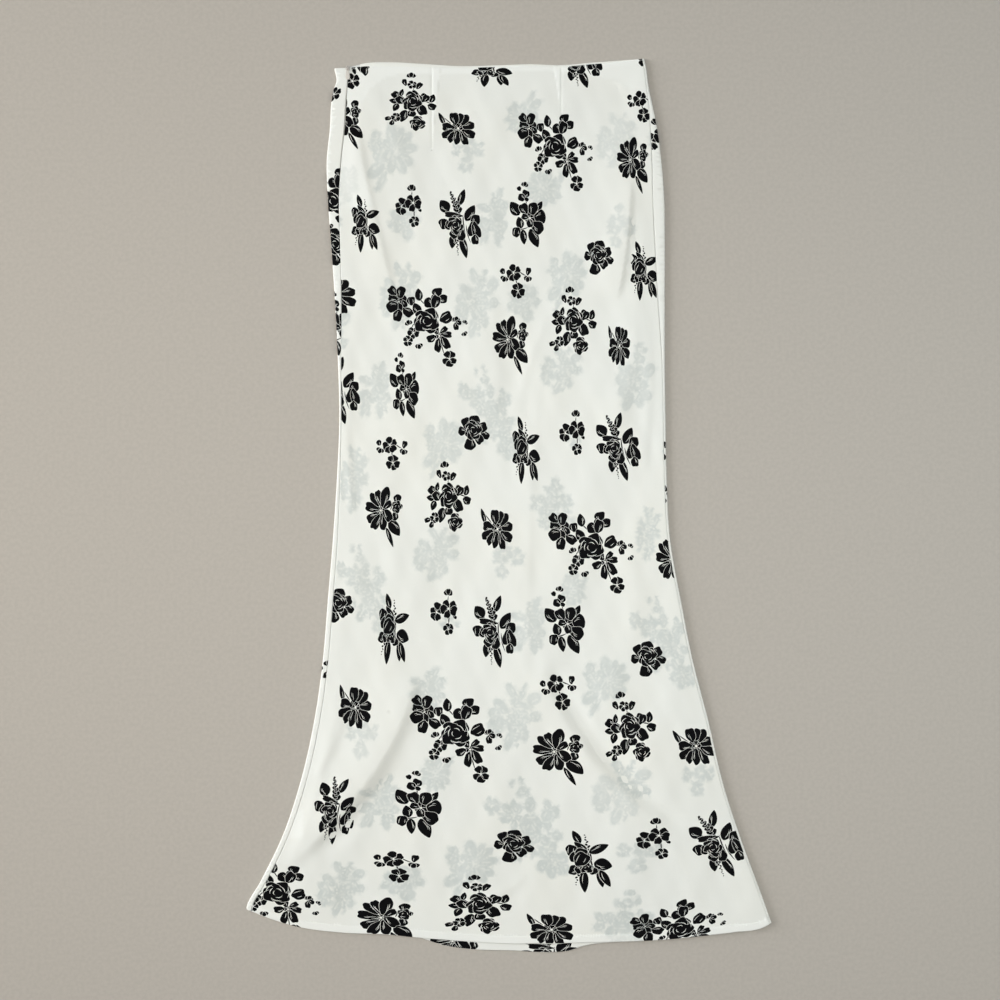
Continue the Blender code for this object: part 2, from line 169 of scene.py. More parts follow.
@dataclass(frozen=True)
class SkirtForm:
    """The laid-out skirt's edges and layers.

    Attributes:
        length: From the highest point of the waist to the lowest of the hem.
        layer: From one cloth layer to the next.
        top: Height of the upper face of the cloth where it has no crease.
        roll: Outer radius of the side folds.
        sheet: Thickness of the crepe.
        sides: The side edges at each height.
        waist: The waist edges.
        hem: The hem edges.
    """

    length: float = 1.009
    layer: float = 0.0013
    top: float = 0.0036
    roll: float = 0.0018
    sheet: float = 0.0005
    sides: dict[str, np.ndarray] = field(default_factory=lambda: columns_of(LEVELS))
    waist: dict[str, np.ndarray] = field(default_factory=lambda: columns_of(WAIST))
    hem: dict[str, np.ndarray] = field(default_factory=lambda: columns_of(HEM))

    def side(self, name: str, down: np.ndarray) -> np.ndarray:
        """One of the side columns at a distance down."""
        return through(down, self.sides["down"], self.sides[name])

    def left_seam(self, down: np.ndarray) -> np.ndarray:
        """x of the left side seam."""
        return self.side("left", down) + self.side("left_wrap", down)

    def right_seam(self, down: np.ndarray) -> np.ndarray:
        """x of the right side seam."""
        return self.side("right", down) - self.side("right_wrap", down)

    def front_waist(self, x: np.ndarray) -> np.ndarray:
        """The front's waist edge, as a distance down."""
        return through(x, self.waist["x"], self.waist["front"])

    def back_waist(self, x: np.ndarray) -> np.ndarray:
        """The back's waist edge, as a distance down."""
        return through(x, self.waist["x"], self.waist["back"])

    def front_hem(self, x: np.ndarray) -> np.ndarray:
        """The front's hem edge, as a distance down."""
        return through(x, self.hem["x"], self.hem["front"])

    def back_hem(self, x: np.ndarray) -> np.ndarray:
        """The back's hem edge, as a distance down."""
        drop = through(x, self.hem["x"], self.hem["back_drop"])
        return np.minimum(self.front_hem(x) + drop, self.length)

    def down_of(self, y: np.ndarray) -> np.ndarray:
        """The distance down of a world y, or the world y of a distance down."""
        return self.length / 2 - y


FORM = SkirtForm()


# The print. Its shapes are drawn in millimetres from a spray's middle, with y toward the waist.


class Shape(Enum):
    """The kinds of shape that make up a spray of the print."""

    ROSE = "rose"
    BLOSSOM = "blossom"
    BUD = "bud"
    PETAL = "petal"
    LEAF = "leaf"
    TREFOIL = "trefoil"
    CATKIN = "catkin"
    STEM = "stem"
    OVAL = "oval"
    RAYS = "rays"


class Spray(Enum):
    """The sprays that the print repeats."""

    BOUQUET = "bouquet"
    ROSE_SPRAY = "rose_spray"
    UPRIGHT_SPRAY = "upright_spray"
    LEAFY_BUNCH = "leafy_bunch"
    ROSE_CLUSTER = "rose_cluster"
    OPEN_FLOWER = "open_flower"
    DAISY = "daisy"
    SINGLE_ROSE = "single_rose"
    TWIN_BLOSSOM = "twin_blossom"
    BLOSSOM_TRIO = "blossom_trio"
    SPRIG = "sprig"
    LONE_BLOSSOM = "lone_blossom"
    CORNER_BITS = "corner_bits"


class Part(NamedTuple):
    """One shape of a spray: its middle, the way it points in degrees, its length that way and its width."""

    shape: Shape
    x: float
    y: float
    angle: float
    length: float
    width: float


class Place(NamedTuple):
    """Where a spray's middle lies, in millimetres, and how it is stretched and turned there."""

    spray: Spray
    x: float
    down: float
    wide: float
    tall: float
    turn: float


PlaceTable = dict[Spray, list[tuple[float, ...]]]


ROSE, BLOSSOM, BUD, PETAL, LEAF = Shape.ROSE, Shape.BLOSSOM, Shape.BUD, Shape.PETAL, Shape.LEAF
TREFOIL, CATKIN, STEM, OVAL, RAYS = Shape.TREFOIL, Shape.CATKIN, Shape.STEM, Shape.OVAL, Shape.RAYS

SPRAYS: dict[Spray, list[tuple]] = {
    Spray.BOUQUET: [
        (STEM, 19, -31, -70, 22, 1.2), (STEM, -4, 18.5, -45, 10, 1.2), (STEM, 29.5, -2, -15, 9, 1.1),
        (STEM, -13.5, -9, 62, 12, 1.1), (OVAL, -28.6, 16.6, 75, 22, 14), (OVAL, 17, -19, 0, 10, 9),
        (OVAL, 12, 22, 30, 14, 12), (PETAL, -36, 22, 165, 10, 7), (PETAL, -36.6, 29.6, 130, 10, 8),
        (PETAL, -27.2, 28.5, 78, 12, 8.5), (PETAL, -36.4, 12.6, 195, 12, 11), (PETAL, -30.2, 3, -105, 12, 9),
        (PETAL, -19.2, 7, -35, 12, 8.5), (PETAL, -23, 16, -60, 8, 5), (RAYS, -29.4, 18, 20, 8, 5),
        (BUD, -15.6, 19.1, 100, 8.6, 8), (LEAF, -7.2, 26.2, 98, 12, 7.5), (LEAF, -9.2, 10.8, 118, 12, 8.5),
        (PETAL, 4.6, 17.2, 150, 11, 9.5), (PETAL, 13.4, 29, 110, 9, 10), (PETAL, 18.6, 21.6, 15, 12, 8),
        (PETAL, 11.6, 18.6, 75, 13, 9), (BUD, 23.5, 1.4, 35, 13, 11), (TREFOIL, 34.8, -1.6, 80, 9, 9),
        (PETAL, 35, -7.6, -85, 8, 5.5), (PETAL, 37.9, -3.6, -30, 6, 4.5), (TREFOIL, 44.6, -4, 60, 6.5, 6.5),
        (TREFOIL, 44, -14.8, -60, 7.5, 7), (TREFOIL, -17.6, -6.2, 110, 9, 8.5),
        (BLOSSOM, -12.5, -15.7, 30, 12.5, 13), (BLOSSOM, -18.4, -24.8, 0, 10.5, 11.5),
        (TREFOIL, -6.2, -28.8, -75, 9, 9), (PETAL, 7.8, -21.4, 205, 10, 7), (PETAL, 15.1, -29, -92, 14, 6.5),
        (PETAL, 23.2, -25.8, -58, 14, 7.5), (PETAL, 24.6, -16.9, -4, 11, 6), (PETAL, 21.4, -12, 40, 9, 5),
        (PETAL, 12.6, -12.8, 120, 8, 6), (RAYS, 16.6, -18.6, 10, 10, 5), (BLOSSOM, 28.2, -43.4, 40, 15, 17.5),
        (ROSE, 2.2, -2.4, 25, 28, 27),
    ],
    Spray.ROSE_SPRAY: [
        (STEM, 5.5, -1.5, -84, 24, 1.4), (STEM, -1, 14, 112, 12, 1.3), (STEM, -12, 14, 130, 10, 1.1),
        (LEAF, 2.8, 29.2, 68, 17, 7.5), (CATKIN, -5.8, 23.4, 113, 25, 10), (LEAF, -18.6, 20, 128, 14, 11.5),
        (PETAL, -8.1, 9.6, 172, 20, 5.5), (BUD, -20, 0, 95, 11, 10), (LEAF, 12.8, 11.4, 57, 18, 10),
        (STEM, 10.5, -12, -75, 22, 1.3), (PETAL, 18.8, 2.6, 70, 13, 10), (PETAL, 13.6, -6.8, -100, 15, 7),
        (PETAL, 19.8, -7.8, -70, 17, 9), (PETAL, 18.2, -18.6, -85, 10, 8), (LEAF, -9.2, -20.2, -97, 14, 8),
        (CATKIN, -3.4, -27.4, -86, 16, 4.2), (LEAF, 4.4, -27, -76, 22, 8), (PETAL, 1.9, -13.2, -100, 12, 8),
        (PETAL, -7, -11, -120, 11, 9), (PETAL, -13, -2, 170, 9, 9), (ROSE, -5.4, -1.8, 80, 18, 20),
    ],
    Spray.UPRIGHT_SPRAY: [
        (STEM, 1, 9, 100, 20, 1.4), (STEM, 4, -6, -80, 26, 1.4), (STEM, -1, 6, 96, 24, 1.2),
        (LEAF, -7.9, 25.1, 111, 13, 5.8), (CATKIN, 0.1, 18.6, 97, 15, 4.6), (LEAF, -5.2, 14.2, 130, 14, 5.6),
        (BUD, -13.9, 12.6, 80, 10, 8), (LEAF, 9.8, 10.4, 19, 16, 7.6), (LEAF, 11.8, -6.4, -20, 14, 11),
        (PETAL, -13.2, -8.2, 165, 8.5, 9), (LEAF, -6, -21, -92, 20, 6.8), (CATKIN, -12, -18.6, -103, 10, 3.8),
        (LEAF, 8.6, -20, -86, 16, 6), (LEAF, 12.2, -20.6, -68, 17, 6), (PETAL, 2.6, -11, -55, 8, 6.5),
        (PETAL, -8.4, -8, -150, 8, 7), (ROSE, -2.4, -7.8, 10, 11, 11), (PETAL, -11, 5, 150, 9, 9),
        (PETAL, -5.6, 7.8, 80, 10, 9), (BUD, -6, 1.8, 60, 13, 12),
    ],
    Spray.LEAFY_BUNCH: [
        (STEM, -4, -16.4, 14, 12, 1.3), (STEM, -1.5, 12, 95, 10, 1.2), (PETAL, -9.8, 28.6, 130, 5, 4.6),
        (TREFOIL, -3.2, 32, 75, 9, 9), (PETAL, -2, 22.2, 60, 9, 8), (PETAL, -6.6, 18.4, 150, 8.5, 7.5),
        (PETAL, -0.6, 16.4, -40, 5, 4), (LEAF, 15.4, 8.8, 60, 11, 6), (LEAF, -15.1, 6, 125, 16, 11.5),
        (LEAF, -9, -10.1, 105, 12, 8.5), (BUD, -13.2, -21, 80, 10.5, 9.5), (LEAF, -4.4, -26.4, -84, 15, 7.5),
        (LEAF, 8.8, -27.6, -65, 20, 10.5), (OVAL, 5.4, -4, 0, 18, 17), (PETAL, -3.6, 5.6, 125, 12, 10),
        (PETAL, 7.2, 5.8, 75, 13, 10.5), (PETAL, 16.2, -3.4, 15, 13, 13), (PETAL, 12.8, -15.2, -38, 15, 12),
        (PETAL, 3.4, -10.6, -85, 9, 7), (PETAL, -2.6, -3.4, 175, 8, 6), (RAYS, 3.6, -5, 20, 11, 6),
    ],
    Spray.ROSE_CLUSTER: [
        (STEM, 1.5, 12, 95, 16, 1.3), (STEM, 18, 1, -20, 14, 1.3), (STEM, -12, 5, 140, 16, 1.3),
        (STEM, -12.5, -18, -145, 12, 1.2), (TREFOIL, -3.3, 33.4, 95, 11, 10.5),
        (PETAL, -10.2, 25.2, 110, 8.5, 5), (BLOSSOM, -1.5, 22.8, 20, 10, 11), (PETAL, 6.6, 22.2, 60, 9, 5.5),
        (PETAL, -18.7, 7, 140, 10, 8.5), (LEAF, -12.7, 11.2, 78, 9, 4.6), (LEAF, -21, -0.9, 172, 9, 6),
        (PETAL, -14, 0.8, 120, 10, 8), (LEAF, -17.8, -9.2, -112, 10, 6.5), (LEAF, 22.6, 6.8, 75, 10, 6.8),
        (PETAL, 23, -4.2, -20, 9, 8), (BUD, 13.6, 6.3, 55, 11, 9.5), (PETAL, 11.8, -9.4, -65, 14, 10),
        (LEAF, -8.2, -20, -105, 15, 8.8), (PETAL, 0.8, -15.2, -80, 9, 8.5),
        (BLOSSOM, -16.8, -22.6, 30, 10.5, 11.5), (PETAL, -25.4, -25, 195, 7, 4.8),
        (PETAL, -20.6, -30.2, -110, 6.5, 4.8), (ROSE, 8.4, -28, 60, 17, 18.5), (ROSE, 0.4, 1, 20, 20, 27),
    ],
    Spray.OPEN_FLOWER: [
        (STEM, 8, -13, -66, 18, 1.5), (STEM, 6.6, 10, 80, 9, 1.1), (LEAF, 8, -25.4, -64, 21, 4.6),
        (LEAF, 12.8, -14.2, -50, 19, 11), (PETAL, 12.1, -0.6, -95, 10, 7), (PETAL, 13.2, 18.8, 85, 10, 8),
        (ROSE, 13.2, 9.8, 0, 14, 12.5), (OVAL, -5.6, 4.4, 70, 15, 11), (PETAL, -16.2, 6.8, 172, 17, 9.5),
        (PETAL, -13.8, -4.4, 212, 16, 10), (PETAL, -9.8, -9, 244, 18, 8.5), (PETAL, -1.8, -8.2, 278, 18, 7.5),
        (PETAL, 2.6, 0.2, 308, 16, 8.5), (PETAL, -13.8, 15.6, 134, 17, 7.5), (PETAL, -8.8, 18, 112, 18, 7),
        (PETAL, -2, 19.4, 84, 22, 9.5), (PETAL, 1.8, 11, 46, 11, 6.5), (RAYS, -5.8, 4, 0, 11, 7),
    ],
    Spray.DAISY: [
        (STEM, -11.9, 9.2, -38, 13, 1.2), (LEAF, -20.3, 12, 118, 15, 5.2), (OVAL, 1.2, -0.4, 0, 19, 18),
        (PETAL, -12, 1.6, 172, 15, 8.5), (PETAL, -12.4, -6.6, 203, 16, 8), (PETAL, -7, -10.4, 232, 14, 7.5),
        (PETAL, -0.4, -11.2, 268, 16, 8), (PETAL, 8.6, -12.2, 292, 17, 8), (PETAL, 15, -6.4, 334, 17, 9),
        (PETAL, 15, 2.6, 6, 15, 8.5), (PETAL, 9.6, 9.8, 48, 14, 9), (PETAL, 3.8, 11.8, 72, 12, 8),
        (PETAL, -3.4, 12, 108, 14, 10.5), (RAYS, 1.4, -0.4, 12, 14, 8),
    ],
    Spray.SINGLE_ROSE: [
        (PETAL, -3, -13.4, -95, 13, 12), (PETAL, -13, 1.4, 170, 9.5, 9), (PETAL, 14.6, -1.6, -40, 13, 7),
        (PETAL, 7.6, -6.8, -50, 12, 9), (PETAL, -8.2, 10.4, 105, 14, 10), (PETAL, 1.4, 13.8, 85, 12, 12),
        (PETAL, 10.6, 6.2, 30, 13, 10), (ROSE, 0.4, 2.8, 45, 21, 21),
    ],
    Spray.TWIN_BLOSSOM: [
        (STEM, 8.4, 8.8, -30, 10, 1.2), (STEM, 0.6, -0.6, -75, 9, 1.2), (PETAL, -16, 11.6, 110, 6, 5.4),
        (TREFOIL, -13.6, 4.6, -110, 10, 9.5), (PETAL, 15.2, 11.2, 75, 8, 5.5),
        (TREFOIL, 14.6, 4.4, -100, 10, 10), (BLOSSOM, -2.6, 9.6, 18, 16, 19),
        (BLOSSOM, 2.2, -10.4, 45, 16, 17),
    ],
    Spray.BLOSSOM_TRIO: [
        (STEM, 7.6, -9, -88, 12, 1.2), (STEM, 3.6, 12, 88, 9, 1.2), (TREFOIL, 3.2, 18.4, 90, 11, 12),
        (BLOSSOM, -9.2, -0.9, 0, 13.5, 20), (PETAL, 14, -4.6, -35, 5, 3), (BLOSSOM, 5.6, 3.2, 30, 20, 18.5),
        (BLOSSOM, 7.2, -17.8, 15, 13, 11.5),
    ],
    Spray.SPRIG: [
        (STEM, 0, -2, 80, 9, 1.2), (TREFOIL, 0.5, 7, 80, 11, 11), (TREFOIL, -5.5, 1, 160, 8, 8),
        (TREFOIL, 5.5, 0.5, 20, 8.5, 8), (PETAL, 0.5, -4.5, -80, 6.5, 5),
    ],
    Spray.LONE_BLOSSOM: [
        (BLOSSOM, 0, 0, 15, 15, 14.5),
    ],
    Spray.CORNER_BITS: [
        (PETAL, -10, 3, 60, 5, 3.4), (PETAL, -9, -1.4, 110, 6, 3.6), (LEAF, -2.6, 1, -56, 11, 3.2),
        (PETAL, 4.6, 4, 20, 6, 5), (PETAL, 2.6, 0, 100, 11, 7.5),
    ],
}

FRONT_PLACES: PlaceTable = {
    Spray.BOUQUET: [
        (50.2, 97.8, 0.93, 1.01, 0), (-94.6, 294, 1.01, 1.03, -1), (90.3, 548.9, 1.04, 1.08, 3),
        (-62.1, 758.3, 1.15, 1.1, -2), (189.9, 980.9, 1.13, 0.82, 21), (-262.9, 938.1, 1.12, 0.94, -13),
    ],
    Spray.ROSE_SPRAY: [
        (-55.1, 186.7, 0.92, 1, 1), (-192, 374.4, 0.93, 0.98, 1), (123.3, 438.3, 0.94, 1, 5),
        (-15.9, 646, 0.95, 1.05, -1), (-195.7, 847.2, 0.93, 1, -15), (235.3, 886.6, 1.1, 1.01, 16),
        (78.8, 2.4, 1, 0.82, 4),
    ],
    Spray.UPRIGHT_SPRAY: [
        (-161.6, 186.8, 0.85, 1.01, 0), (152.4, 240, 0.85, 1.04, 1), (19.3, 441.9, 0.83, 1.18, 0),
        (-130, 643.7, 0.92, 1.24, -3), (89.9, 904.2, 1.32, 1.1, 7), (-19.6, 11.4, 1.22, 0.67, -1),
    ],
    Spray.LEAFY_BUNCH: [
        (20.6, 175.9, 0.91, 0.99, 0), (-118.1, 368.7, 0.73, 1.01, 3), (62.5, 633, 1.01, 1.04, 4),
        (-102.9, 839.9, 1.2, 1, -4),
    ],
    Spray.ROSE_CLUSTER: [
        (-109.1, 49.6, 0.99, 0.84, -5), (72.5, 296.7, 0.94, 1, 1), (-68.6, 494.7, 0.92, 1.03, 1),
        (135.5, 754, 1.07, 1.06, 10), (-33.9, 954.1, 1.32, 0.87, 1),
    ],
    Spray.OPEN_FLOWER: [
        (141.1, 119.1, 0.78, 0.94, -1), (3.8, 321.7, 0.89, 0.97, -1), (-139.2, 514.7, 0.92, 0.99, -5),
        (187.4, 569, 0.85, 0.98, 3), (58.4, 785.7, 1.25, 0.95, 1), (-136.2, 972.7, 1.39, 0.84, -2),
        (-184.1, 71, 0.91, 0.92, 4),
    ],
    Spray.DAISY: [
        (-58.2, 79.2, 0.85, 0.92, 1), (124, 324.1, 0.54, 1.1, -4), (-13.8, 530.6, 0.78, 1.1, -4),
        (-173.7, 731.2, 0.82, 1.13, -9), (209.8, 775.4, 0.93, 1.07, 8), (46.6, 982.1, 1.09, 0.88, -1),
        (-197.3, 267, 1.06, 1.02, 0),
    ],
    Spray.SINGLE_ROSE: [
        (100.3, 225.3, 0.85, 0.95, -3), (-40.5, 422.5, 0.91, 0.96, -2), (-193.5, 617.2, 0.94, 0.96, -6),
        (156, 677.4, 1.01, 0.97, 6), (4.4, 888.3, 1.17, 0.9, -1),
    ],
    Spray.TWIN_BLOSSOM: [
        (8.1, 252.1, 0.93, 1.01, 1), (-132, 446, 0.93, 0.98, -3), (56.7, 715.1, 1.05, 1.08, 8),
        (-126.5, 912, 1.36, 0.92, -1), (149.9, 55.2, 0.85, 0.93, 1),
    ],
    Spray.BLOSSOM_TRIO: [
        (-112.7, 166.7, 0.89, 1, -1), (71.6, 422, 0.87, 1.06, -3), (-73, 624, 0.91, 1.09, -5),
        (163, 879.8, 1.16, 0.99, 4),
    ],
    Spray.LONE_BLOSSOM: [(-176.2, 26.3, 1.09, 1.14, 3), (152.8, 3, 0.95, 0.91, -21)],
    Spray.CORNER_BITS: [(-165, 14, 1, 1, 0)],
}

BACK_PLACES: PlaceTable = {
    Spray.BOUQUET: [
        (-17, 404, 1.2, 0.65, -80), (-157, 605, 1.2, 0.6, -80), (178, 662, 1.2, 0.7, -80),
        (28, 872, 1.3, 0.95, -80), (-210, 159),
    ],
    Spray.ROSE_SPRAY: [
        (121, 93, 0.85, 0.8, 0), (-36, 276), (-175, 475, 0.6, 1, 0), (157, 536, 0.5, 0.8, 0), (6, 742),
        (-189, 936, 1.05, 0.8, 0), (-122, 268, 0.9, 1, 0), (59, 352, 0.9, 0.7, 0), (-82, 559, 1, 0.8, 0),
        (127, 827, 1.3, 0.95, 0),
    ],
    Spray.UPRIGHT_SPRAY: [(-18, 180), (-151, 374), (22, 640), (-146, 839), (-91, 712, 1.1, 0.8, 0)],
    Spray.LEAFY_BUNCH: [(143, 359), (-200, 300)],
    Spray.ROSE_CLUSTER: [(49, 503, 0.9, 0.75, 0), (132, 975)],
    Spray.OPEN_FLOWER: [
        (18, 64, 0.9, 0.75, 180), (64, 250), (-75, 438), (107, 706), (-45, 912), (-134, 110, 1.2, 1.15, 0),
    ],
    Spray.DAISY: [(40, 147), (73, 598, 0.6, 0.95, 0), (-82, 807, 0.75, 1, 0)],
    Spray.SINGLE_ROSE: [(-117, 184), (18, 276), (-118, 930), (-207, 213)],
    Spray.TWIN_BLOSSOM: [(-46, 110), (-165, 768, 0.9, 1.1, 0), (214, 814, 0.9, 0.9, 0), (148, 900)],
    Spray.BLOSSOM_TRIO: [(127, 190), (0, 562), (172, 93)],
    Spray.LONE_BLOSSOM: [(-203, 41)],
    Spray.SPRIG: [(-219, 691), (183, 445), (186, 494), (-66, 640), (73, 430)],
}


class Stroke(NamedTuple):
    """One simple mark: an oval that may be pointed or bent, inked or left bare, in millimetres."""

    x: float
    y: float
    angle: float
    length: float
    width: float
    pointed: bool
    inked: bool
    bend: float = 0.0


class Figure(NamedTuple):
    """A closed shape of the print in pattern space, counterclockwise, and whether it is inked."""

    outline: np.ndarray
    inked: bool


def numbered(loops: Sequence[np.ndarray]) -> list[list[int]]:
    """The numbers of each loop's points, counted through all loops."""
    starts = np.cumsum([0] + [len(loop) for loop in loops])
    return [list(range(first, last)) for first, last in zip(starts[:-1], starts[1:])]


def joined_figures(figures: Sequence[Figure]) -> list[np.ndarray]:
    """The borders of the inked cloth, after later figures have covered earlier ones.

    Args:
        figures: The figures, in the order that they are laid down.

    Returns:
        Closed loops, counterclockwise. Cloth inside an odd number of them is inked.
    """
    if not figures:
        return []
    loops = [figure.outline for figure in figures]
    given = [Vector(point) for point in np.concatenate(loops)]
    joined = delaunay_2d_cdt(given, [], numbered(loops), 1, 1e-7, True)
    points = np.array([point[:] for point in joined[0]])
    inked = [covered and figures[max(covered)].inked for covered in joined[5]]
    triangles = np.array([face for face, ink in zip(joined[2], inked) if ink])
    starts_of = triangles.ravel()
    ends_of = np.roll(triangles, -1, axis=1).ravel()
    forward = starts_of * len(points) + ends_of
    border = ~np.isin(forward, ends_of * len(points) + starts_of)
    onward: dict[int, list[int]] = {}
    for start, end in zip(starts_of[border].tolist(), ends_of[border].tolist()):
        onward.setdefault(start, []).append(end)
    borders = []
    while onward:
        start = next(iter(onward))
        chain, here = [start], start
        while here in onward:
            ends = onward[here]
            there = ends.pop()
            if not ends:
                del onward[here]
            here = there
            if here == start:
                break
            chain.append(here)
        loop = thinned(points[chain])
        if len(loop) >= 4:
            borders.append(loop)
    return borders


def area_of(loop: np.ndarray) -> float:
    """The area inside a loop, above 0 where it runs counterclockwise."""
    x, y = loop.T
    return float(np.sum(x * np.roll(y, -1) - y * np.roll(x, -1)) / 2)


def thinned(loop: np.ndarray, least: float = 0.00028, straight: float = 0.00003) -> np.ndarray:
    """A closed loop without the points that add nothing, counterclockwise.

    Args:
        loop: The loop.
        least: Points closer together than this are joined.
        straight: A point that lies this close to the line between its neighbours is dropped.

    Returns:
        The loop, or an empty one if too little is left of it.
    """
    kept = [loop[0]]
    for point in loop[1:]:
        if np.hypot(*(point - kept[-1])) > least:
            kept.append(point)
    if len(kept) > 1 and np.hypot(*(kept[0] - kept[-1])) <= least:
        kept.pop()
    if len(kept) < 4:
        return np.zeros((0, 2))
    ring = np.array(kept)
    before, after = np.roll(ring, 1, axis=0), np.roll(ring, -1, axis=0)
    chord = after - before
    off = chord[:, 0] * (ring - before)[:, 1] - chord[:, 1] * (ring - before)[:, 0]
    away = np.abs(off) / np.maximum(np.hypot(chord[:, 0], chord[:, 1]), 1e-9)
    plain = (away < straight) & (np.arange(len(ring)) % 2 == 1)
    ring = ring[~plain]
    area = area_of(ring)
    if len(ring) < 4 or abs(area) < 1.5e-7:
        return np.zeros((0, 2))
    return ring if area > 0 else ring[::-1]


def within(points: np.ndarray, loops: Sequence[np.ndarray]) -> np.ndarray:
    """Whether each point lies inside an odd number of closed loops."""
    order = np.argsort(points[:, 1])
    x, y = points[order].T
    odd = np.zeros(len(points), dtype=bool)
    for loop in loops:
        onward = np.roll(loop, -1, axis=0)
        first = np.searchsorted(y, np.minimum(loop[:, 1], onward[:, 1]))
        last = np.searchsorted(y, np.maximum(loop[:, 1], onward[:, 1]))
        for i in np.flatnonzero(last > first):
            rows = slice(first[i], last[i])
            share = (y[rows] - loop[i, 1]) / (onward[i, 1] - loop[i, 1])
            odd[rows] ^= x[rows] > loop[i, 0] + share * (onward[i, 0] - loop[i, 0])
    inside = np.empty_like(odd)
    inside[order] = odd
    return inside


def beyond(x: float, y: float, angle: float, along: Length, across: Length = 0.0) -> tuple[Length, Length]:
    """The place so far along a direction in degrees from another place, and so far to its left."""
    turn = math.radians(angle)
    return (
        x + along * math.cos(turn) - across * math.sin(turn),
        y + along * math.sin(turn) + across * math.cos(turn),
    )


@dataclass(frozen=True)
class PrintDrawing:
    """Draws sprays: every inked shape has a thin bare border, so that shapes stand apart where they overlap.

    Attributes:
        border: Width of the bare line round a petal or leaf.
        vein: Width of the bare line inside one.
        edge_step: Distance between the points of an outline.
        fullness: How much larger than its table size a petal or leaf is drawn.
    """

    border: float = 0.32
    vein: float = 0.48
    edge_step: float = 1.1
    fullness: float = 1.15

    def lobe(
        self, x: float, y: float, angle: float, length: float, width: float, pointed: bool = False
    ) -> list[Stroke]:
        """A petal or leaf: its bare border, its ink and the bare line along it.

        Args:
            x: Its middle across.
            y: Its middle upward.
            angle: The way it points, in degrees.
            length: Its length.
            width: Its width.
            pointed: Whether its tip is sharp.

        Returns:
            The strokes, in the order that they are laid down.
        """
        grown = 2 * self.border
        marks = [
            Stroke(x, y, angle, length + grown, width + grown, pointed, False),
            Stroke(x, y, angle, length, width, pointed, True),
        ]
        if width < 4.5 or length < 6.5:
            return marks
        lean = math.sin(x * 1.7 + y * 2.3)
        rows = [(0.10, 0.12, 0.5), (-0.22, -0.02, 0.3)] if width > 8 else [(0.06, 0.14, 0.44)]
        for aside, back, share in rows:
            across = math.copysign(aside * width, lean)
            place = beyond(x, y, angle, -back * length, across)
            bend = 0.10 * width * lean
            marks.append(Stroke(*place, angle + 8 * lean, share * length, self.vein, True, False, bend))
        return marks

    @staticmethod
    def within_part(part: Part, turn: float, reach: float) -> tuple[float, float]:
        """The place at a share of the way from a part's middle to its edge, in a direction in degrees."""
        angle = math.radians(turn)
        return (
            part.x + reach * part.length / 2 * math.cos(angle),
            part.y + reach * part.width / 2 * math.sin(angle),
        )

    def rose(self, part: Part) -> list[Stroke]:
        """A full rose: petals round a solid heart, with bare crescents wound round it."""
        across, upward = part.length / 2, part.width / 2
        size = (across + upward) / 2
        petals = 7 if size > 8 else 5
        marks = []
        for step in range(petals):
            turn = part.angle + 360 * (step + 0.25 * math.sin(2.3 * step + part.x)) / petals
            width = 0.86 * size * (1 + 0.14 * math.sin(1.9 * step))
            marks += self.lobe(*self.within_part(part, turn, 0.60), turn + 62, 1.05 * size, width)[:2]
        marks.append(Stroke(part.x, part.y, 0, 1.25 * across, 1.25 * upward, False, True))
        winds = 8 if size > 8 else 5
        for step in range(winds):
            share = step / (winds - 1)
            turn = part.angle + 128 * step + 14 * math.sin(part.y + 3 * step)
            reach = 0.74 - 0.58 * share
            length = size * (0.88 - 0.46 * share)
            place = self.within_part(part, turn, reach)
            bend = -min(0.30 * length, length**2 / (8 * reach * size))
            marks.append(Stroke(*place, turn + 84, length, 0.26 + 0.038 * size, True, False, bend))
        return marks

    def blossom(self, part: Part) -> list[Stroke]:
        """A five-petalled blossom round a small bare middle."""
        size = (part.length + part.width) / 4
        marks = []
        for step in range(5):
            turn = part.angle + 18 + 72 * step + 9 * math.sin(2.1 * step + part.x)
            width = 0.92 * size * (1 + 0.16 * math.sin(2.7 * step + part.y))
            marks += self.lobe(*self.within_part(part, turn, 0.60), turn, 0.98 * size, width)[:2]
        marks += self.rays(Part(RAYS, part.x, part.y, part.angle + 54, 1.1 * size, 5))
        return marks

    def rays(self, part: Part) -> list[Stroke]:
        """Bare rays round a bare middle; the width of the part is how many there are."""
        count = round(part.width)
        marks = [Stroke(part.x, part.y, part.angle, 0.2 * part.length, 0.2 * part.length, False, False)]
        for step in range(count):
            turn = part.angle + 360 * (step + 0.2 * math.sin(3.1 * step + part.x)) / count
            length = part.length * (0.36 + 0.12 * math.sin(2.2 * step + part.y))
            place = beyond(part.x, part.y, turn, 0.06 * part.length + length / 2)
            marks.append(Stroke(*place, turn, length, self.vein, True, False, 0.3 * math.sin(step)))
        return marks

    def bud(self, part: Part) -> list[Stroke]:
        """A round bud with two bare crescents."""
        length, width = self.fullness * part.length, self.fullness * part.width
        marks = self.lobe(part.x, part.y, part.angle, length, width)[:2]
        for share in (-0.2, 0.22):
            place = beyond(part.x, part.y, part.angle, 0.0, share * width)
            long = (0.5 + 0.6 * share) * length
            marks.append(Stroke(*place, part.angle, long, self.vein, True, False, 2.4 * share))
        return marks

    def trefoil(self, part: Part) -> list[Stroke]:
        """Three small lobes in a fan."""
        marks = []
        for turn in (part.angle - 62, part.angle + 62, part.angle):
            place = beyond(part.x, part.y, turn, 0.22 * part.length)
            marks += self.lobe(*place, turn, 0.62 * part.length, 0.48 * part.width)[:2]
        return marks

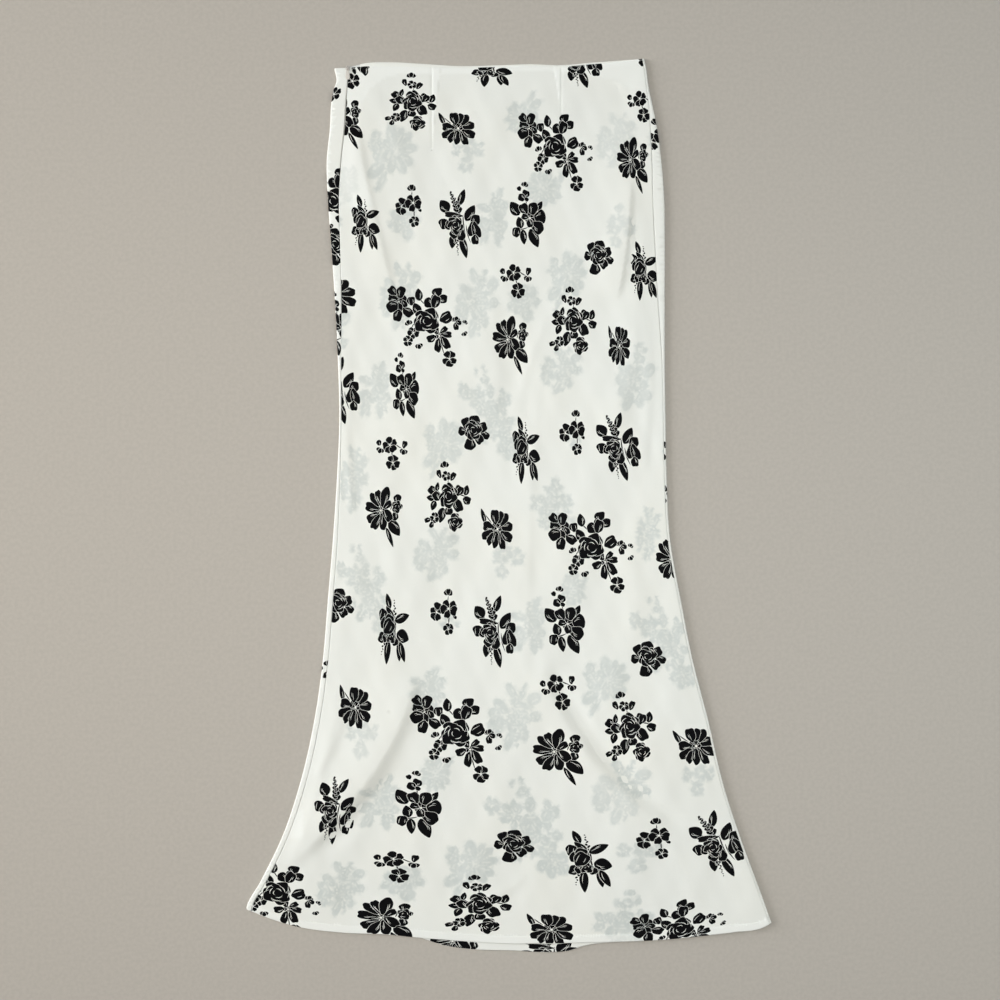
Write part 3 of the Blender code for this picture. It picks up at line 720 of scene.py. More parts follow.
    def catkin(self, part: Part) -> list[Stroke]:
        """A tassel of small lobes that grow smaller toward its tip."""
        count = max(4, round(part.length / 2.1))
        marks = []
        for step in range(count):
            share = step / (count - 1)
            size = part.width * (0.50 - 0.26 * share)
            zigzag = 0.22 * part.width * (1 - share) * (-1) ** step
            place = beyond(part.x, part.y, part.angle, part.length * (share - 0.5), zigzag)
            turn = part.angle + (48 + 14 * math.sin(2.6 * step)) * (-1) ** step
            marks += self.lobe(*place, turn, 1.7 * size, size)[:2]
        return marks

    def strokes(self, part: Part) -> list[Stroke]:
        """The strokes of any part.

        Args:
            part: The shape to draw.

        Returns:
            Its strokes, in the order that they are laid down.
        """
        composed = {
            Shape.ROSE: self.rose,
            Shape.BLOSSOM: self.blossom,
            Shape.BUD: self.bud,
            Shape.TREFOIL: self.trefoil,
            Shape.CATKIN: self.catkin,
            Shape.RAYS: self.rays,
        }
        if part.shape in composed:
            return composed[part.shape](part)
        if part.shape is Shape.STEM:
            bow = 0.06 * part.length * math.sin(part.x + part.y)
            return [Stroke(part.x, part.y, part.angle, part.length, part.width, True, True, bow)]
        if part.shape is Shape.OVAL:
            return [Stroke(part.x, part.y, part.angle, part.length, part.width, False, True)]
        length, width = self.fullness * part.length, self.fullness * part.width
        return self.lobe(part.x, part.y, part.angle, length, width, part.shape is Shape.LEAF)

    def outline(self, stroke: Stroke) -> np.ndarray:
        """The points round one stroke, counterclockwise, in millimetres."""
        around = 1.6 * (stroke.length + stroke.width)
        least = 6 if stroke.width < 1.5 else 10
        count = int(np.clip(round(around / self.edge_step), least, 30))
        t = 2 * math.pi * np.arange(count) / count
        along, across = np.cos(t), np.sin(t)
        if stroke.pointed:
            shape = across * np.abs(across) ** 0.45 * (1 - 0.25 * along)
        else:
            phase = 1.3 * stroke.x + 0.9 * stroke.y
            ripple = 0.045 * np.sin(3 * t + phase) + 0.05 * np.sin(5 * t - 2 * phase)
            ripple -= 0.10 * np.exp(-((np.sin(t / 2) / 0.16) ** 2))
            shape = across * (1 + 0.24 * along) * (1 + ripple)
            along = along * (1 + ripple)
        u = along * stroke.length / 2
        v = shape * stroke.width / 2 + stroke.bend * (1 - along**2)
        return np.stack(beyond(stroke.x, stroke.y, stroke.angle, u, v), axis=1)


DRAWING = PrintDrawing()
SPRAY_STROKES = {
    spray: [mark for row in rows for mark in DRAWING.strokes(Part(*row))] for spray, rows in SPRAYS.items()
}


class Widening(NamedTuple):
    """How much wider and taller the print lies at a distance down."""

    down: float
    wider: float
    taller: float


WIDENINGS = [
    Widening(0.045, 0.94, 1.03),
    Widening(0.225, 0.94, 1.03),
    Widening(0.420, 1.00, 1.02),
    Widening(0.680, 1.13, 1.00),
    Widening(0.890, 1.31, 0.97),
]


def places_of(table: PlaceTable) -> tuple[Place, ...]:
    """The places in a table. A row that gives only where it is gets the usual stretch there."""
    usual = columns_of(WIDENINGS)
    places = []
    for spray, rows in table.items():
        for x, down, *laid in rows:
            wide = float(np.interp(down * MM, usual["down"], usual["wider"]))
            tall = float(np.interp(down * MM, usual["down"], usual["taller"]))
            places.append(Place(spray, x, down, *(laid or (wide, tall, 0.0))))
    return tuple(places)


@dataclass(frozen=True)
class PrintLayout:
    """The sprays of one panel, laid on its pattern.

    Attributes:
        places: Where the sprays lie.
        mirrored: Whether they are drawn to be read from the pattern's other side.
    """

    places: tuple[Place, ...]
    mirrored: bool

    def laid(self, place: Place) -> np.ndarray:
        """The matrix that stretches and turns the rows of a spray's points for its place."""
        turn = math.radians(place.turn)
        spin = np.array([[math.cos(turn), math.sin(turn)], [-math.sin(turn), math.cos(turn)]])
        wide = -place.wide if self.mirrored else place.wide
        return np.diag([wide, place.tall]) @ spin

    def middle(self, place: Place) -> np.ndarray:
        """A place's middle in pattern space, in millimetres."""
        return np.array([place.x, FORM.length / MM / 2 - place.down])

    def figures(self) -> list[Figure]:
        """All shapes of the panel's print, in the order that they are laid down."""
        drawn = []
        for place in self.places:
            laid, middle = self.laid(place), self.middle(place)
            for stroke in SPRAY_STROKES[place.spray]:
                points = DRAWING.outline(stroke) @ laid
                if self.mirrored:
                    points = points[::-1]
                drawn.append(Figure((points + middle) * MM, stroke.inked))
        return drawn

    def shadow(self, x: np.ndarray, y: np.ndarray) -> np.ndarray:
        """How much of this print shows softly through a layer of cloth above it.

        Args:
            x: Where to look, across.
            y: Where to look, toward the waist.

        Returns:
            0 where nothing shows, to 1 in the middle of a shape.
        """
        seen = np.zeros_like(x)
        for place in self.places:
            from_middle = np.stack([x, y], axis=1) / MM - self.middle(place)
            near = np.flatnonzero(np.hypot(*from_middle.T) < 75)
            if not len(near):
                continue
            dx, dy = (from_middle[near] @ np.linalg.inv(self.laid(place))).T
            local = np.zeros_like(dx)
            for stroke in SPRAY_STROKES[place.spray]:
                turn = math.radians(stroke.angle)
                u = (dx - stroke.x) * math.cos(turn) + (dy - stroke.y) * math.sin(turn)
                v = -(dx - stroke.x) * math.sin(turn) + (dy - stroke.y) * math.cos(turn)
                away = np.hypot(u / (stroke.length / 2 + 0.3), v / (stroke.width / 2 + 0.3))
                cover = smooth_step((1.12 - away) / 0.30)
                if stroke.inked:
                    local = np.maximum(local, cover)
                else:
                    local *= 1 - 0.5 * cover
            seen[near] = np.maximum(seen[near], local)
        return seen


FRONT_PRINT = PrintLayout(places_of(FRONT_PLACES), mirrored=False)
BACK_PRINT = PrintLayout(places_of(BACK_PLACES), mirrored=True)


# How the front lies: soft folds, the darts and the pressed edges.


class Crease(NamedTuple):
    """A soft fold along an arc through three places.

    It rises so far, and it reaches so far to the left and to the right of its line.
    """

    start_x: float
    start_down: float
    middle_x: float
    middle_down: float
    end_x: float
    end_down: float
    rise: float
    left_reach: float
    right_reach: float


CREASES = [
    Crease(*row)
    for row in (
        (-0.172, 0.075, -0.15, 0.19, -0.106, 0.352, 0.0012, 0.018, 0.0048),
        (-0.189, 0.35, -0.186, 0.43, -0.176, 0.52, 0.002, 0.006, 0.006),
        (-0.139, 0.44, -0.131, 0.53, -0.128, 0.64, 0.0005, 0.014, 0.009),
        (-0.072, 0.46, -0.066, 0.55, -0.062, 0.65, 0.0004, 0.014, 0.0075),
        (-0.024, 0.19, -0.014, 0.39, -0.003, 0.58, 0.0004, 0.015, 0.009),
        (0.05, 0.275, 0.022, 0.346, 0.009, 0.405, 0.0006, 0.009, 0.0065),
        (0.041, 0.31, 0.024, 0.5, 0.02, 0.745, 0.0005, 0.012, 0.006),
        (0.137, 0.13, 0.1318, 0.212, 0.12, 0.275, 0.0026, 0.022, 0.004),
        (0.153, 0.14, 0.14, 0.31, 0.101, 0.52, 0.0006, 0.014, 0.009),
        (0.163, 0.3, 0.157, 0.4, 0.15, 0.48, 0.0006, 0.008, 0.006),
        (0.141, 0.48, 0.141, 0.6, 0.137, 0.715, 0.0005, 0.012, 0.01),
        (-0.108, 0.69, -0.15, 0.799, -0.266, 0.924, 0.0036, 0.032, 0.0088),
        (-0.126, 0.795, -0.167, 0.85, -0.218, 0.896, -0.0017, 0.007, 0.01),
        (-0.214, 0.69, -0.229, 0.78, -0.26, 0.87, 0.0018, 0.008, 0.026),
        (-0.184, 0.715, -0.2, 0.775, -0.236, 0.826, 0.0007, 0.01, 0.006),
        (0.03, 0.675, 0.09, 0.79, 0.202, 0.89, 0.0028, 0.03, 0.01),
        (0.044, 0.675, 0.105, 0.78, 0.216, 0.878, -0.0025, 0.009, 0.01),
        (0.088, 0.67, 0.15, 0.772, 0.242, 0.85, 0.0014, 0.03, 0.024),
        (-0.07, 0.975, -0.02, 0.95, 0.028, 0.912, 0.0006, 0.008, 0.006),
        (0.083, 0.03, 0.115, 0.024, 0.137, 0.044, 0.0005, 0.004, 0.004),
        (-0.155, 0.024, -0.132, 0.018, -0.1, 0.02, -0.0004, 0.006, 0.006),
        (0.08, 0.13, 0.072, 0.2, 0.068, 0.27, 0.0004, 0.014, 0.01),
        (-0.096, 0.125, -0.104, 0.19, -0.092, 0.27, 0.0004, 0.012, 0.014),
    )
]


class Swell(NamedTuple):
    """A broad, low wave of the cloth: how high, how long each way, and where it starts."""

    height: float
    across: float
    downward: float
    phase: float


SWELLS = [
    Swell(0.00034, 0.190, 0.610, 0.4),
    Swell(0.00026, 0.083, 0.270, 1.9),
    Swell(-0.00020, 0.061, -0.150, 3.1),
    Swell(0.00012, 0.037, 0.096, 5.2),
    Swell(0.00008, -0.024, 0.053, 0.9),
]


class Dart(NamedTuple):
    """A waist dart: its line's x, its ends as distances down, and its intake's width and side."""

    x: float
    start_down: float
    tip_down: float
    intake: float


DARTS = [
    Dart(-0.0867, 0.0100, 0.1040, 0.0105),
    Dart(0.0590, 0.0090, 0.0640, -0.0090),
]


class VeilPoint(NamedTuple):
    """How far across the whiter zone beside the zip reaches at a distance down."""

    down: float
    x: float


VEIL_EDGE = [
    VeilPoint(*row)
    for row in (
        (0.017, -0.0917), (0.0203, -0.1353), (0.0362, -0.1557), (0.0588, -0.167), (0.0938, -0.167),
        (0.1367, -0.1613), (0.1661, -0.15),
    )
]


@dataclass(frozen=True)
class Drape:
    """How the upper cloth lies.

    Attributes:
        side_fade: Folds die out this far from the side seams.
        end_fade: And this far from the waist and the hem.
        lowest: A fold sinks this far at most.
        seam_dip: How far the pressed edges at the seams turn down.
        seam_round: How far in from its edge the cloth begins to turn down.
        hem_depth: Depth of the turned-up hem.
        hem_rise: How far the hem's two layers stand higher than one.
        zip_top: Where the seam begins to stand open over the zip, as a distance down.
        zip_bottom: Where it is closed again.
        zip_gap: How far it stands open.
    """

    side_fade: float = 0.018
    end_fade: float = 0.040
    lowest: float = -0.0022
    seam_dip: float = 0.0004
    seam_round: float = 0.0012
    hem_depth: float = 0.0090
    hem_rise: float = 0.00028
    zip_top: float = 0.026
    zip_bottom: float = 0.165
    zip_gap: float = 0.0007

    def zip_opening(self, down: np.ndarray) -> np.ndarray:
        """How far the seam stands open over the zip, on each side of its line."""
        opened = smooth_step((down - self.zip_top) / 0.012) * smooth_step((self.zip_bottom - down) / 0.05)
        return self.zip_gap / 2 * opened

    def crease_height(self, crease: Crease, x: np.ndarray, down: np.ndarray) -> np.ndarray:
        """How far one fold lifts the cloth at each place."""
        lifted = np.zeros_like(x)
        start = np.array([crease.start_x, crease.start_down])
        middle = np.array([crease.middle_x, crease.middle_down])
        end = np.array([crease.end_x, crease.end_down])
        handle = 2 * middle - (start + end) / 2
        t = np.linspace(0.0, 1.0, 33)[:, None]
        line = start * (1 - t) ** 2 + handle * 2 * t * (1 - t) + end * t * t
        far = 2.6 * max(crease.left_reach, crease.right_reach)
        low, high = line.min(axis=0) - far, line.max(axis=0) + far
        inside = (x > low[0]) & (x < high[0]) & (down > low[1]) & (down < high[1])
        near = np.flatnonzero(inside)
        if not len(near):
            return lifted
        here = np.stack([x[near], down[near]], axis=1)
        closest = np.hypot(here[:, :1] - line[:, 0], here[:, 1:] - line[:, 1]).argmin(axis=1)
        away = np.full(len(near), np.inf)
        along, aside = np.zeros(len(near)), np.zeros(len(near))
        for first in (np.maximum(closest - 1, 0), np.minimum(closest, len(line) - 2)):
            step = line[first + 1] - line[first]
            share = np.clip(np.sum((here - line[first]) * step, axis=1) / np.sum(step * step, axis=1), 0, 1)
            off = here - line[first] - share[:, None] * step
            distance = np.hypot(off[:, 0], off[:, 1])
            nearer = distance < away
            away = np.where(nearer, distance, away)
            along = np.where(nearer, (first + share) / (len(line) - 1), along)
            aside = np.where(nearer, off[:, 0], aside)
        reach = np.where(aside < 0, crease.left_reach, crease.right_reach)
        strength = smooth_step(5 * along * (1 - along))
        lifted[near] = crease.rise * strength * np.exp(-((away / reach) ** 2))
        return lifted

    def folds(self, x: np.ndarray, down: np.ndarray) -> np.ndarray:
        """How far all folds and swells together lift the front."""
        total = np.zeros_like(x)
        for crease in CREASES:
            total += self.crease_height(crease, x, down)
        for swell in SWELLS:
            wave = 2 * math.pi * (x / swell.across + down / swell.downward) + swell.phase
            total += swell.height * np.sin(wave)
        from_side = np.minimum(x - FORM.left_seam(down), FORM.right_seam(down) - x)
        from_end = np.minimum(down - FORM.front_waist(x), FORM.front_hem(x) - down)
        calm = smooth_step(from_side / self.side_fade) * smooth_step(from_end / self.end_fade)
        total *= calm
        return np.where(total < 0, self.lowest * np.tanh(total / self.lowest), total)

    def pressed_edge(self, inside: np.ndarray) -> np.ndarray:
        """How far the cloth turns down at a distance inside its pressed edge."""
        s = np.clip(inside / self.seam_round, 0.0, 1.0)
        return self.seam_dip * (1 - np.sqrt(1 - (1 - s) ** 2))

    def darts(self, x: np.ndarray, down: np.ndarray) -> np.ndarray:
        """The sewn grooves of the darts and the slight rise over what they take in."""
        total = np.zeros_like(x)
        for dart in DARTS:
            share = np.clip((down - dart.start_down) / (dart.tip_down - dart.start_down), 0, 1)
            alive = smooth_step((1.02 - share) / 0.08) * (down < dart.tip_down)
            aside = x - dart.x
            total -= 0.00016 * alive * np.exp(-((aside / 0.0011) ** 2))
            width = dart.intake * (1 - share)
            toward = aside * np.sign(dart.intake)
            within = smooth_step(toward / 0.0012) * smooth_step((np.abs(width) - toward) / 0.0016)
            total += 0.00022 * alive * within
        return total

    def front_height(self, x: np.ndarray, down: np.ndarray) -> np.ndarray:
        """Height of the front's upper face."""
        from_left = x - FORM.left_seam(down)
        from_right = FORM.right_seam(down) - x
        from_waist = down - FORM.front_waist(x)
        from_hem = FORM.front_hem(x) - down
        height = FORM.top + self.folds(x, down) + self.darts(x, down)
        height += self.hem_rise * smooth_step((self.hem_depth - from_hem) / 0.0009)
        edge = np.minimum(np.minimum(from_left, from_right), np.minimum(from_waist, from_hem))
        return height - self.pressed_edge(edge)

    def veil(self, x: np.ndarray, down: np.ndarray) -> np.ndarray:
        """How much whiter the front looks where more cloth lies under it."""
        from_waist = down - FORM.front_waist(x)
        from_hem = FORM.front_hem(x) - down
        depth = np.interp(x, [-0.10, 0.10], [0.0092, 0.0056])
        seen = 0.9 * smooth_step((depth - from_waist) / 0.0012)
        seen = np.maximum(seen, 0.75 * smooth_step((self.hem_depth - from_hem) / 0.0010))
        edge = columns_of(VEIL_EDGE)
        beside = smooth_step((np.interp(down, edge["down"], edge["x"]) - x) / 0.003)
        beside = beside * smooth_step((0.185 - down) / 0.03) * smooth_step((down - 0.015) / 0.003)
        seen = np.maximum(seen, 0.8 * beside)
        right = np.interp(x, [0.059, 0.103, 0.119, 0.1404, 0.160], [0.017, 0.0249, 0.026, 0.0418, 0.060])
        seen = np.maximum(seen, 0.6 * smooth_step((right - down) / 0.003) * (x > 0.059))
        for dart in DARTS:
            share = np.clip((down - dart.start_down) / (dart.tip_down - dart.start_down), 0, 1)
            toward = (x - dart.x) * np.sign(dart.intake)
            width = abs(dart.intake) * (1 - share)
            within = smooth_step(toward / 0.0008) * smooth_step((width - toward) / 0.0012)
            seen = np.maximum(seen, within * (down < dart.tip_down))
        # A paler patch near the hem, as of a plain label inside.
        patch = band(x, -0.2465, -0.2325, 0.0015) * band(down, 0.847, 0.879, 0.0015)
        seen = np.maximum(seen, 0.55 * patch)
        return seen


DRAPE = Drape()


# Cloth pieces.


def outline_of(left: Curve, right: Curve, top: Curve, bottom: Curve, step: float) -> np.ndarray:
    """The outline of a piece with four curved edges, counterclockwise with y toward the waist.

    Args:
        left: Its left edge's place across, at a distance down.
        right: Its right edge's place across, at a distance down.
        top: Its upper edge as a distance down, at a place across.
        bottom: Its lower edge as a distance down, at a place across.
        step: Distance between the outline's points.

    Returns:
        The points round it.
    """

    def corner(side: Curve, end: Curve, start: float) -> tuple[float, float]:
        """Where a side edge meets an upper or lower one."""
        across = side(np.array([start]))
        for _ in range(12):
            down = end(across)
            across = side(down)
        return float(across[0]), float(down[0])

    highest, lowest = 0.0, FORM.length
    upper_left, upper_right = corner(left, top, highest), corner(right, top, highest)
    lower_left, lower_right = corner(left, bottom, lowest), corner(right, bottom, lowest)

    def stations(first: float, last: float) -> np.ndarray:
        """Evenly spaced places from the first to just before the last."""
        return np.linspace(first, last, max(3, round(abs(last - first) / step)) + 1)[:-1]

    along_hem = stations(lower_left[0], lower_right[0])
    up_right = stations(lower_right[1], upper_right[1])
    along_waist = stations(upper_right[0], upper_left[0])
    down_left = stations(upper_left[1], lower_left[1])
    points = [
        np.stack([along_hem, FORM.down_of(bottom(along_hem))], axis=1),
        np.stack([right(up_right), FORM.down_of(up_right)], axis=1),
        np.stack([along_waist, FORM.down_of(top(along_waist))], axis=1),
        np.stack([left(down_left), FORM.down_of(down_left)], axis=1),
    ]
    return np.concatenate(points)


def rail(
    line: Curve, offsets: Sequence[float], first: float, last: float, step: float, downward: bool
) -> np.ndarray:
    """Points in rows beside a curve, so that the cloth can turn sharply there.

    Args:
        line: The curve: across at a distance down, or a distance down at a place across.
        offsets: How far each row stands from it, toward +x, or downward.
        first: Where the rows start.
        last: Where they end.
        step: Distance between a row's points.
        downward: Whether the rows run down the skirt and not across it.

    Returns:
        The rows' points in pattern space.
    """
    at = np.linspace(first, last, max(2, round(abs(last - first) / step)))
    rows = []
    for number, offset in enumerate(offsets):
        shifted = at + (step / 2 if number % 2 else 0.0)
        if downward:
            rows.append(np.stack([line(shifted) + offset, FORM.down_of(shifted)], axis=1))
        else:
            rows.append(np.stack([shifted, FORM.down_of(line(shifted) + offset)], axis=1))
    return np.concatenate(rows)


def place_of(vertex: bmesh.types.BMVert) -> tuple[float, ...]:
    """Where a vertex lies, as a key to sort by."""
    return vertex.co.to_tuple()


def put_in_order(shell: bmesh.types.BMesh) -> None:
    """Numbers a mesh by where its vertices lie, so that each run gives the same one."""
    for number, vertex in enumerate(sorted(shell.verts, key=place_of)):
        vertex.index = number
    shell.verts.sort()
    for sequence in (shell.edges, shell.faces):
        in_order = sorted(sequence, key=lambda item: sorted(vertex.index for vertex in item.verts))
        for number, item in enumerate(in_order):
            item.index = number
        sequence.sort()


def hexagonal_grid(low: np.ndarray, high: np.ndarray, pitch: float) -> np.ndarray:
    """Points of an even three-way grid that covers a box."""
    row_height = pitch * math.sqrt(3) / 2
    across = np.arange(low[0], high[0], pitch)
    upward = np.arange(low[1], high[1], row_height)
    x, y = np.meshgrid(across, upward)
    x = x + (np.arange(len(upward)) % 2)[:, None] * pitch / 2
    return np.stack([x.ravel(), y.ravel()], axis=1)


def cells(points: np.ndarray, size: float) -> np.ndarray:
    """A number for the square cell that each point lies in."""
    index = np.floor(points / size).astype(np.int64)
    return index[:, 0] * 100_003 + index[:, 1]


def away_from(points: np.ndarray, others: np.ndarray, size: float) -> np.ndarray:
    """The points that have none of the others in their own or a neighbouring half cell."""
    if not len(others):
        return points
    taken = np.unique(cells(others, size))
    free = np.ones(len(points), dtype=bool)
    reach = 0.5 * size
    for dx in (-reach, 0.0, reach):
        for dy in (-reach, 0.0, reach):
            free &= ~np.isin(cells(points + (dx, dy), size), taken)
    return points[free]


@dataclass
class ClothPiece:
    """One sewn piece of thin cloth.

    Its printed side is a fine flat triangle mesh with the print cut into it. The mesh gets a rim and a
    coarser other side, and then it is laid on a surface.

    Attributes:
        name: The piece's name.
        outline: Its outline in pattern space, counterclockwise.
        surface: World points from a place across, a place upward and a depth under the printed side.
        material: Its finish.
        figures: The print.
        rails: Extra points where it turns sharply.
        pitch: Distance between the points of its plain cloth.
        lining_pitch: The same on its other side.
        facing_up: Whether the printed side looks up where the pattern isn't folded.
        thickness: Of the cloth.
    """

    name: str
    outline: np.ndarray
    surface: Surface
    material: bpy.types.Material
    figures: list[Figure] = field(default_factory=list)
    rails: list[np.ndarray] = field(default_factory=list)
    pitch: float = 0.0036
    lining_pitch: float = 0.012
    facing_up: bool = True
    thickness: float = FORM.sheet

    def flat_area(self) -> float:
        """The pattern's area in square metres."""
        return abs(area_of(self.outline))

    @staticmethod
    def triangulate(
        outline: np.ndarray, borders: Sequence[np.ndarray], extra: np.ndarray
    ) -> tuple[np.ndarray, np.ndarray]:
        """Joins an outline, the loops in it and loose points into triangles.

        Args:
            outline: The piece's outline.
            borders: The borders of its inked cloth.
            extra: The loose points.

        Returns:
            The points and the triangles inside the outline.
        """
        loops = [outline, *borders]
        points = [Vector(point) for point in np.concatenate([*loops, extra])]
        joined = delaunay_2d_cdt(points, [], numbered(loops), 0, 1e-6, True)
        triangles = [triangle for triangle, covered_by in zip(joined[2], joined[5]) if 0 in covered_by]
        return np.array([point[:] for point in joined[0]]), np.array(triangles)

    def printed_side(self) -> bpy.types.Mesh:
        """The flat printed side, with an ink value on each face."""
        borders = joined_figures(self.figures)
        marks = [self.outline, *borders]
        rails = np.concatenate(self.rails) if self.rails else np.zeros((0, 2))
        rails = away_from(rails, np.concatenate(marks), 0.0003)
        detail = away_from(self.detail(), np.concatenate([*marks, rails]), 0.0010)
        rails = np.concatenate([rails, detail])
        low, high = self.outline.min(axis=0), self.outline.max(axis=0)
        grid = hexagonal_grid(low, high, self.pitch)
        middles = (self.outline + np.roll(self.outline, -1, axis=0)) / 2
        grid = away_from(grid, np.concatenate([*marks, rails, middles]), 0.45 * self.pitch)
        points, triangles = self.triangulate(self.outline, borders, np.concatenate([rails, grid]))
        mesh = bpy.data.meshes.new(self.name)
        mesh.from_pydata(np.pad(points, ((0, 0), (0, 1))), [], triangles)
        layer = mesh.attributes.new("ink", "FLOAT", "FACE")
        layer.data.foreach_set("value", within(points[triangles].mean(axis=1), borders).astype(np.float32))
        return mesh

    def detail(self) -> np.ndarray:
        """Loose points where the printed side needs a finer mesh."""
        return np.zeros((0, 2))

    def other_side(self, rim: np.ndarray) -> bpy.types.Mesh:
        """The coarse flat underside inside the rim's points."""
        low, high = rim.min(axis=0), rim.max(axis=0)
        grid = hexagonal_grid(low + 0.3 * self.lining_pitch, high, self.lining_pitch)
        fine = [rails for rails in self.rails if len(rails)]
        extra = np.concatenate([grid, *[rails[::2] for rails in fine]]) if fine else grid
        extra = away_from(extra, rim, 0.5 * self.pitch)
        points, triangles = self.triangulate(rim, [], extra)
        mesh = bpy.data.meshes.new(self.name + "_under")
        points = np.pad(points, ((0, 0), (0, 1)), constant_values=-self.thickness)
        mesh.from_pydata(points, [], triangles[:, ::-1])
        return mesh

    def flat_shell(self) -> bpy.types.Mesh:
        """The closed flat shell: printed side, rim and other side."""
        shell = bmesh.new()
        printed = self.printed_side()
        shell.from_mesh(printed)
        loose = [vertex for vertex in shell.verts if not vertex.link_faces]
        bmesh.ops.delete(shell, geom=loose, context="VERTS")
        border = [edge for edge in shell.edges if edge.is_boundary]
        grown = bmesh.ops.extrude_edge_only(shell, edges=border)["geom"]
        rim = [item for item in grown if isinstance(item, bmesh.types.BMVert)]
        bmesh.ops.translate(shell, verts=rim, vec=(0.0, 0.0, -self.thickness))
        chain = self.ordered(rim)
        under = self.other_side(np.array([vertex.co.xy for vertex in chain]))
        shell.from_mesh(under)
        open_rims = [vertex for vertex in shell.verts if vertex.is_boundary]
        bmesh.ops.remove_doubles(shell, verts=open_rims, dist=0.000002)
        walls = [face for face in shell.faces if len(face.verts) > 3]
        bmesh.ops.triangulate(shell, faces=walls)
        bmesh.ops.recalc_face_normals(shell, faces=shell.faces)
        open_edges = sum(1 for edge in shell.edges if not edge.is_manifold)
        if open_edges:
            LOG.warning("%s has %d open edges", self.name, open_edges)
        put_in_order(shell)
        shell.to_mesh(printed)
        shell.free()
        bpy.data.meshes.remove(under)
        return printed

    @staticmethod
    def ordered(rim: list[bmesh.types.BMVert]) -> list[bmesh.types.BMVert]:
        """The rim's vertices in order round the piece, counterclockwise, always from the same one."""
        members = set(rim)
        neighbours = {
            vertex: sorted(
                (edge.other_vert(vertex) for edge in vertex.link_edges if edge.other_vert(vertex) in members),
                key=place_of,
            )
            for vertex in rim
        }
        chain, previous = [min(rim, key=place_of)], None
        while True:
            here = chain[-1]
            onward = [vertex for vertex in neighbours[here] if vertex is not previous]
            if not onward or onward[0] is chain[0]:
                break
            previous = here
            chain.append(onward[0])
        return chain if area_of(np.array([vertex.co.xy for vertex in chain])) > 0 else chain[::-1]

    def outward(self, across: np.ndarray, upward: np.ndarray) -> np.ndarray:
        """The directions in which the printed side looks."""
        step = 0.00003
        depth = np.zeros_like(across)
        here = self.surface(across, upward, depth)
        beside = self.surface(across + step, upward, depth) - here
        above = self.surface(across, upward + step, depth) - here
        normal = np.cross(beside, above) * (1.0 if self.facing_up else -1.0)
        return normal / np.maximum(np.linalg.norm(normal, axis=1), 1e-12)[:, None]

    def lay_out_maps(
        self, mesh: bpy.types.Mesh, flat: np.ndarray, corner: np.ndarray, printed: np.ndarray
    ) -> None:
        """Gives the mesh a pattern map in metres and a map of the whole piece for baking.

        Args:
            mesh: The piece's mesh.
            flat: Its points in pattern space.
            corner: The vertex at each corner of its faces.
            printed: Whether each of those corners belongs to the printed side.
        """
        across, upward = flat[corner, 0], flat[corner, 1]
        pattern = mesh.uv_layers.new(name="Pattern")
        pattern.data.foreach_set("uv", np.stack([across, upward], axis=1).ravel())
        low, high = flat.min(axis=0), flat.max(axis=0)
        u = 0.005 + 0.485 * (across - low[0]) / (high[0] - low[0]) + np.where(printed, 0.0, 0.5)
        v = 0.005 + 0.990 * (upward - low[1]) / (high[1] - low[1])
        bake = mesh.uv_layers.new(name="OFBake")
        bake.data.foreach_set("uv", np.stack([u, v], axis=1).ravel())

    def build(self) -> bpy.types.Object:
        """The finished piece, with its place in its mesh."""
        mesh = self.flat_shell()
        count = len(mesh.vertices)
        flat = np.empty(count * 3)
        mesh.vertices.foreach_get("co", flat)
        flat = flat.reshape(count, 3)
        world = self.surface(flat[:, 0], flat[:, 1], -flat[:, 2])
        mesh.vertices.foreach_set("co", world.ravel())
        if not self.facing_up:
            mesh.flip_normals()
        mesh.shade_smooth()
        corner = np.empty(len(mesh.loops), dtype=np.int32)
        mesh.loops.foreach_get("vertex_index", corner)
        on_top = flat[:, 2] > -0.25 * self.thickness
        whole = on_top[corner].reshape(-1, 3).all(axis=1)
        printed = np.repeat(whole, 3)
        self.lay_out_maps(mesh, flat, corner, printed)
        normals = np.zeros((len(corner), 3))
        upper = np.flatnonzero(on_top)
        facing = np.zeros((count, 3))
        facing[upper] = self.outward(flat[upper, 0], flat[upper, 1])
        normals[printed] = facing[corner[printed]]
        self.tint(mesh, flat)
        mesh.update()
        mesh.normals_split_custom_set(normals)
        mesh.materials.clear()
        mesh.materials.append(self.material)
        piece = in_scene(self.name, mesh)
        LOG.info("%s: %d triangles, flat %.4f m2", self.name, len(mesh.polygons), self.flat_area())
        return piece

    def tint(self, mesh: bpy.types.Mesh, flat: np.ndarray) -> None:
        """Gives the mesh its plain tint values. Pieces that show more than one layer replace them."""
        put_values(mesh, "ghost", np.zeros(len(flat)))
        put_values(mesh, "veil", np.full(len(flat), 0.35))


def mesh_from(shape: bmesh.types.BMesh, name: str) -> bpy.types.Mesh:
    """A named mesh from a finished shape, which is used up."""
    mesh = bpy.data.meshes.new(name)
    shape.to_mesh(mesh)
    shape.free()
    return mesh


def in_scene(name: str, data: bpy.types.ID) -> bpy.types.Object:
    """A new object in the scene."""
    made = bpy.data.objects.new(name, data)
    bpy.context.scene.collection.objects.link(made)
    return made


def put_values(mesh: bpy.types.Mesh, name: str, values: np.ndarray) -> None:
    """Stores one value for each vertex under a name."""
    layer = mesh.attributes.get(name) or mesh.attributes.new(name, "FLOAT", "POINT")
    layer.data.foreach_set("value", values.astype(np.float32))


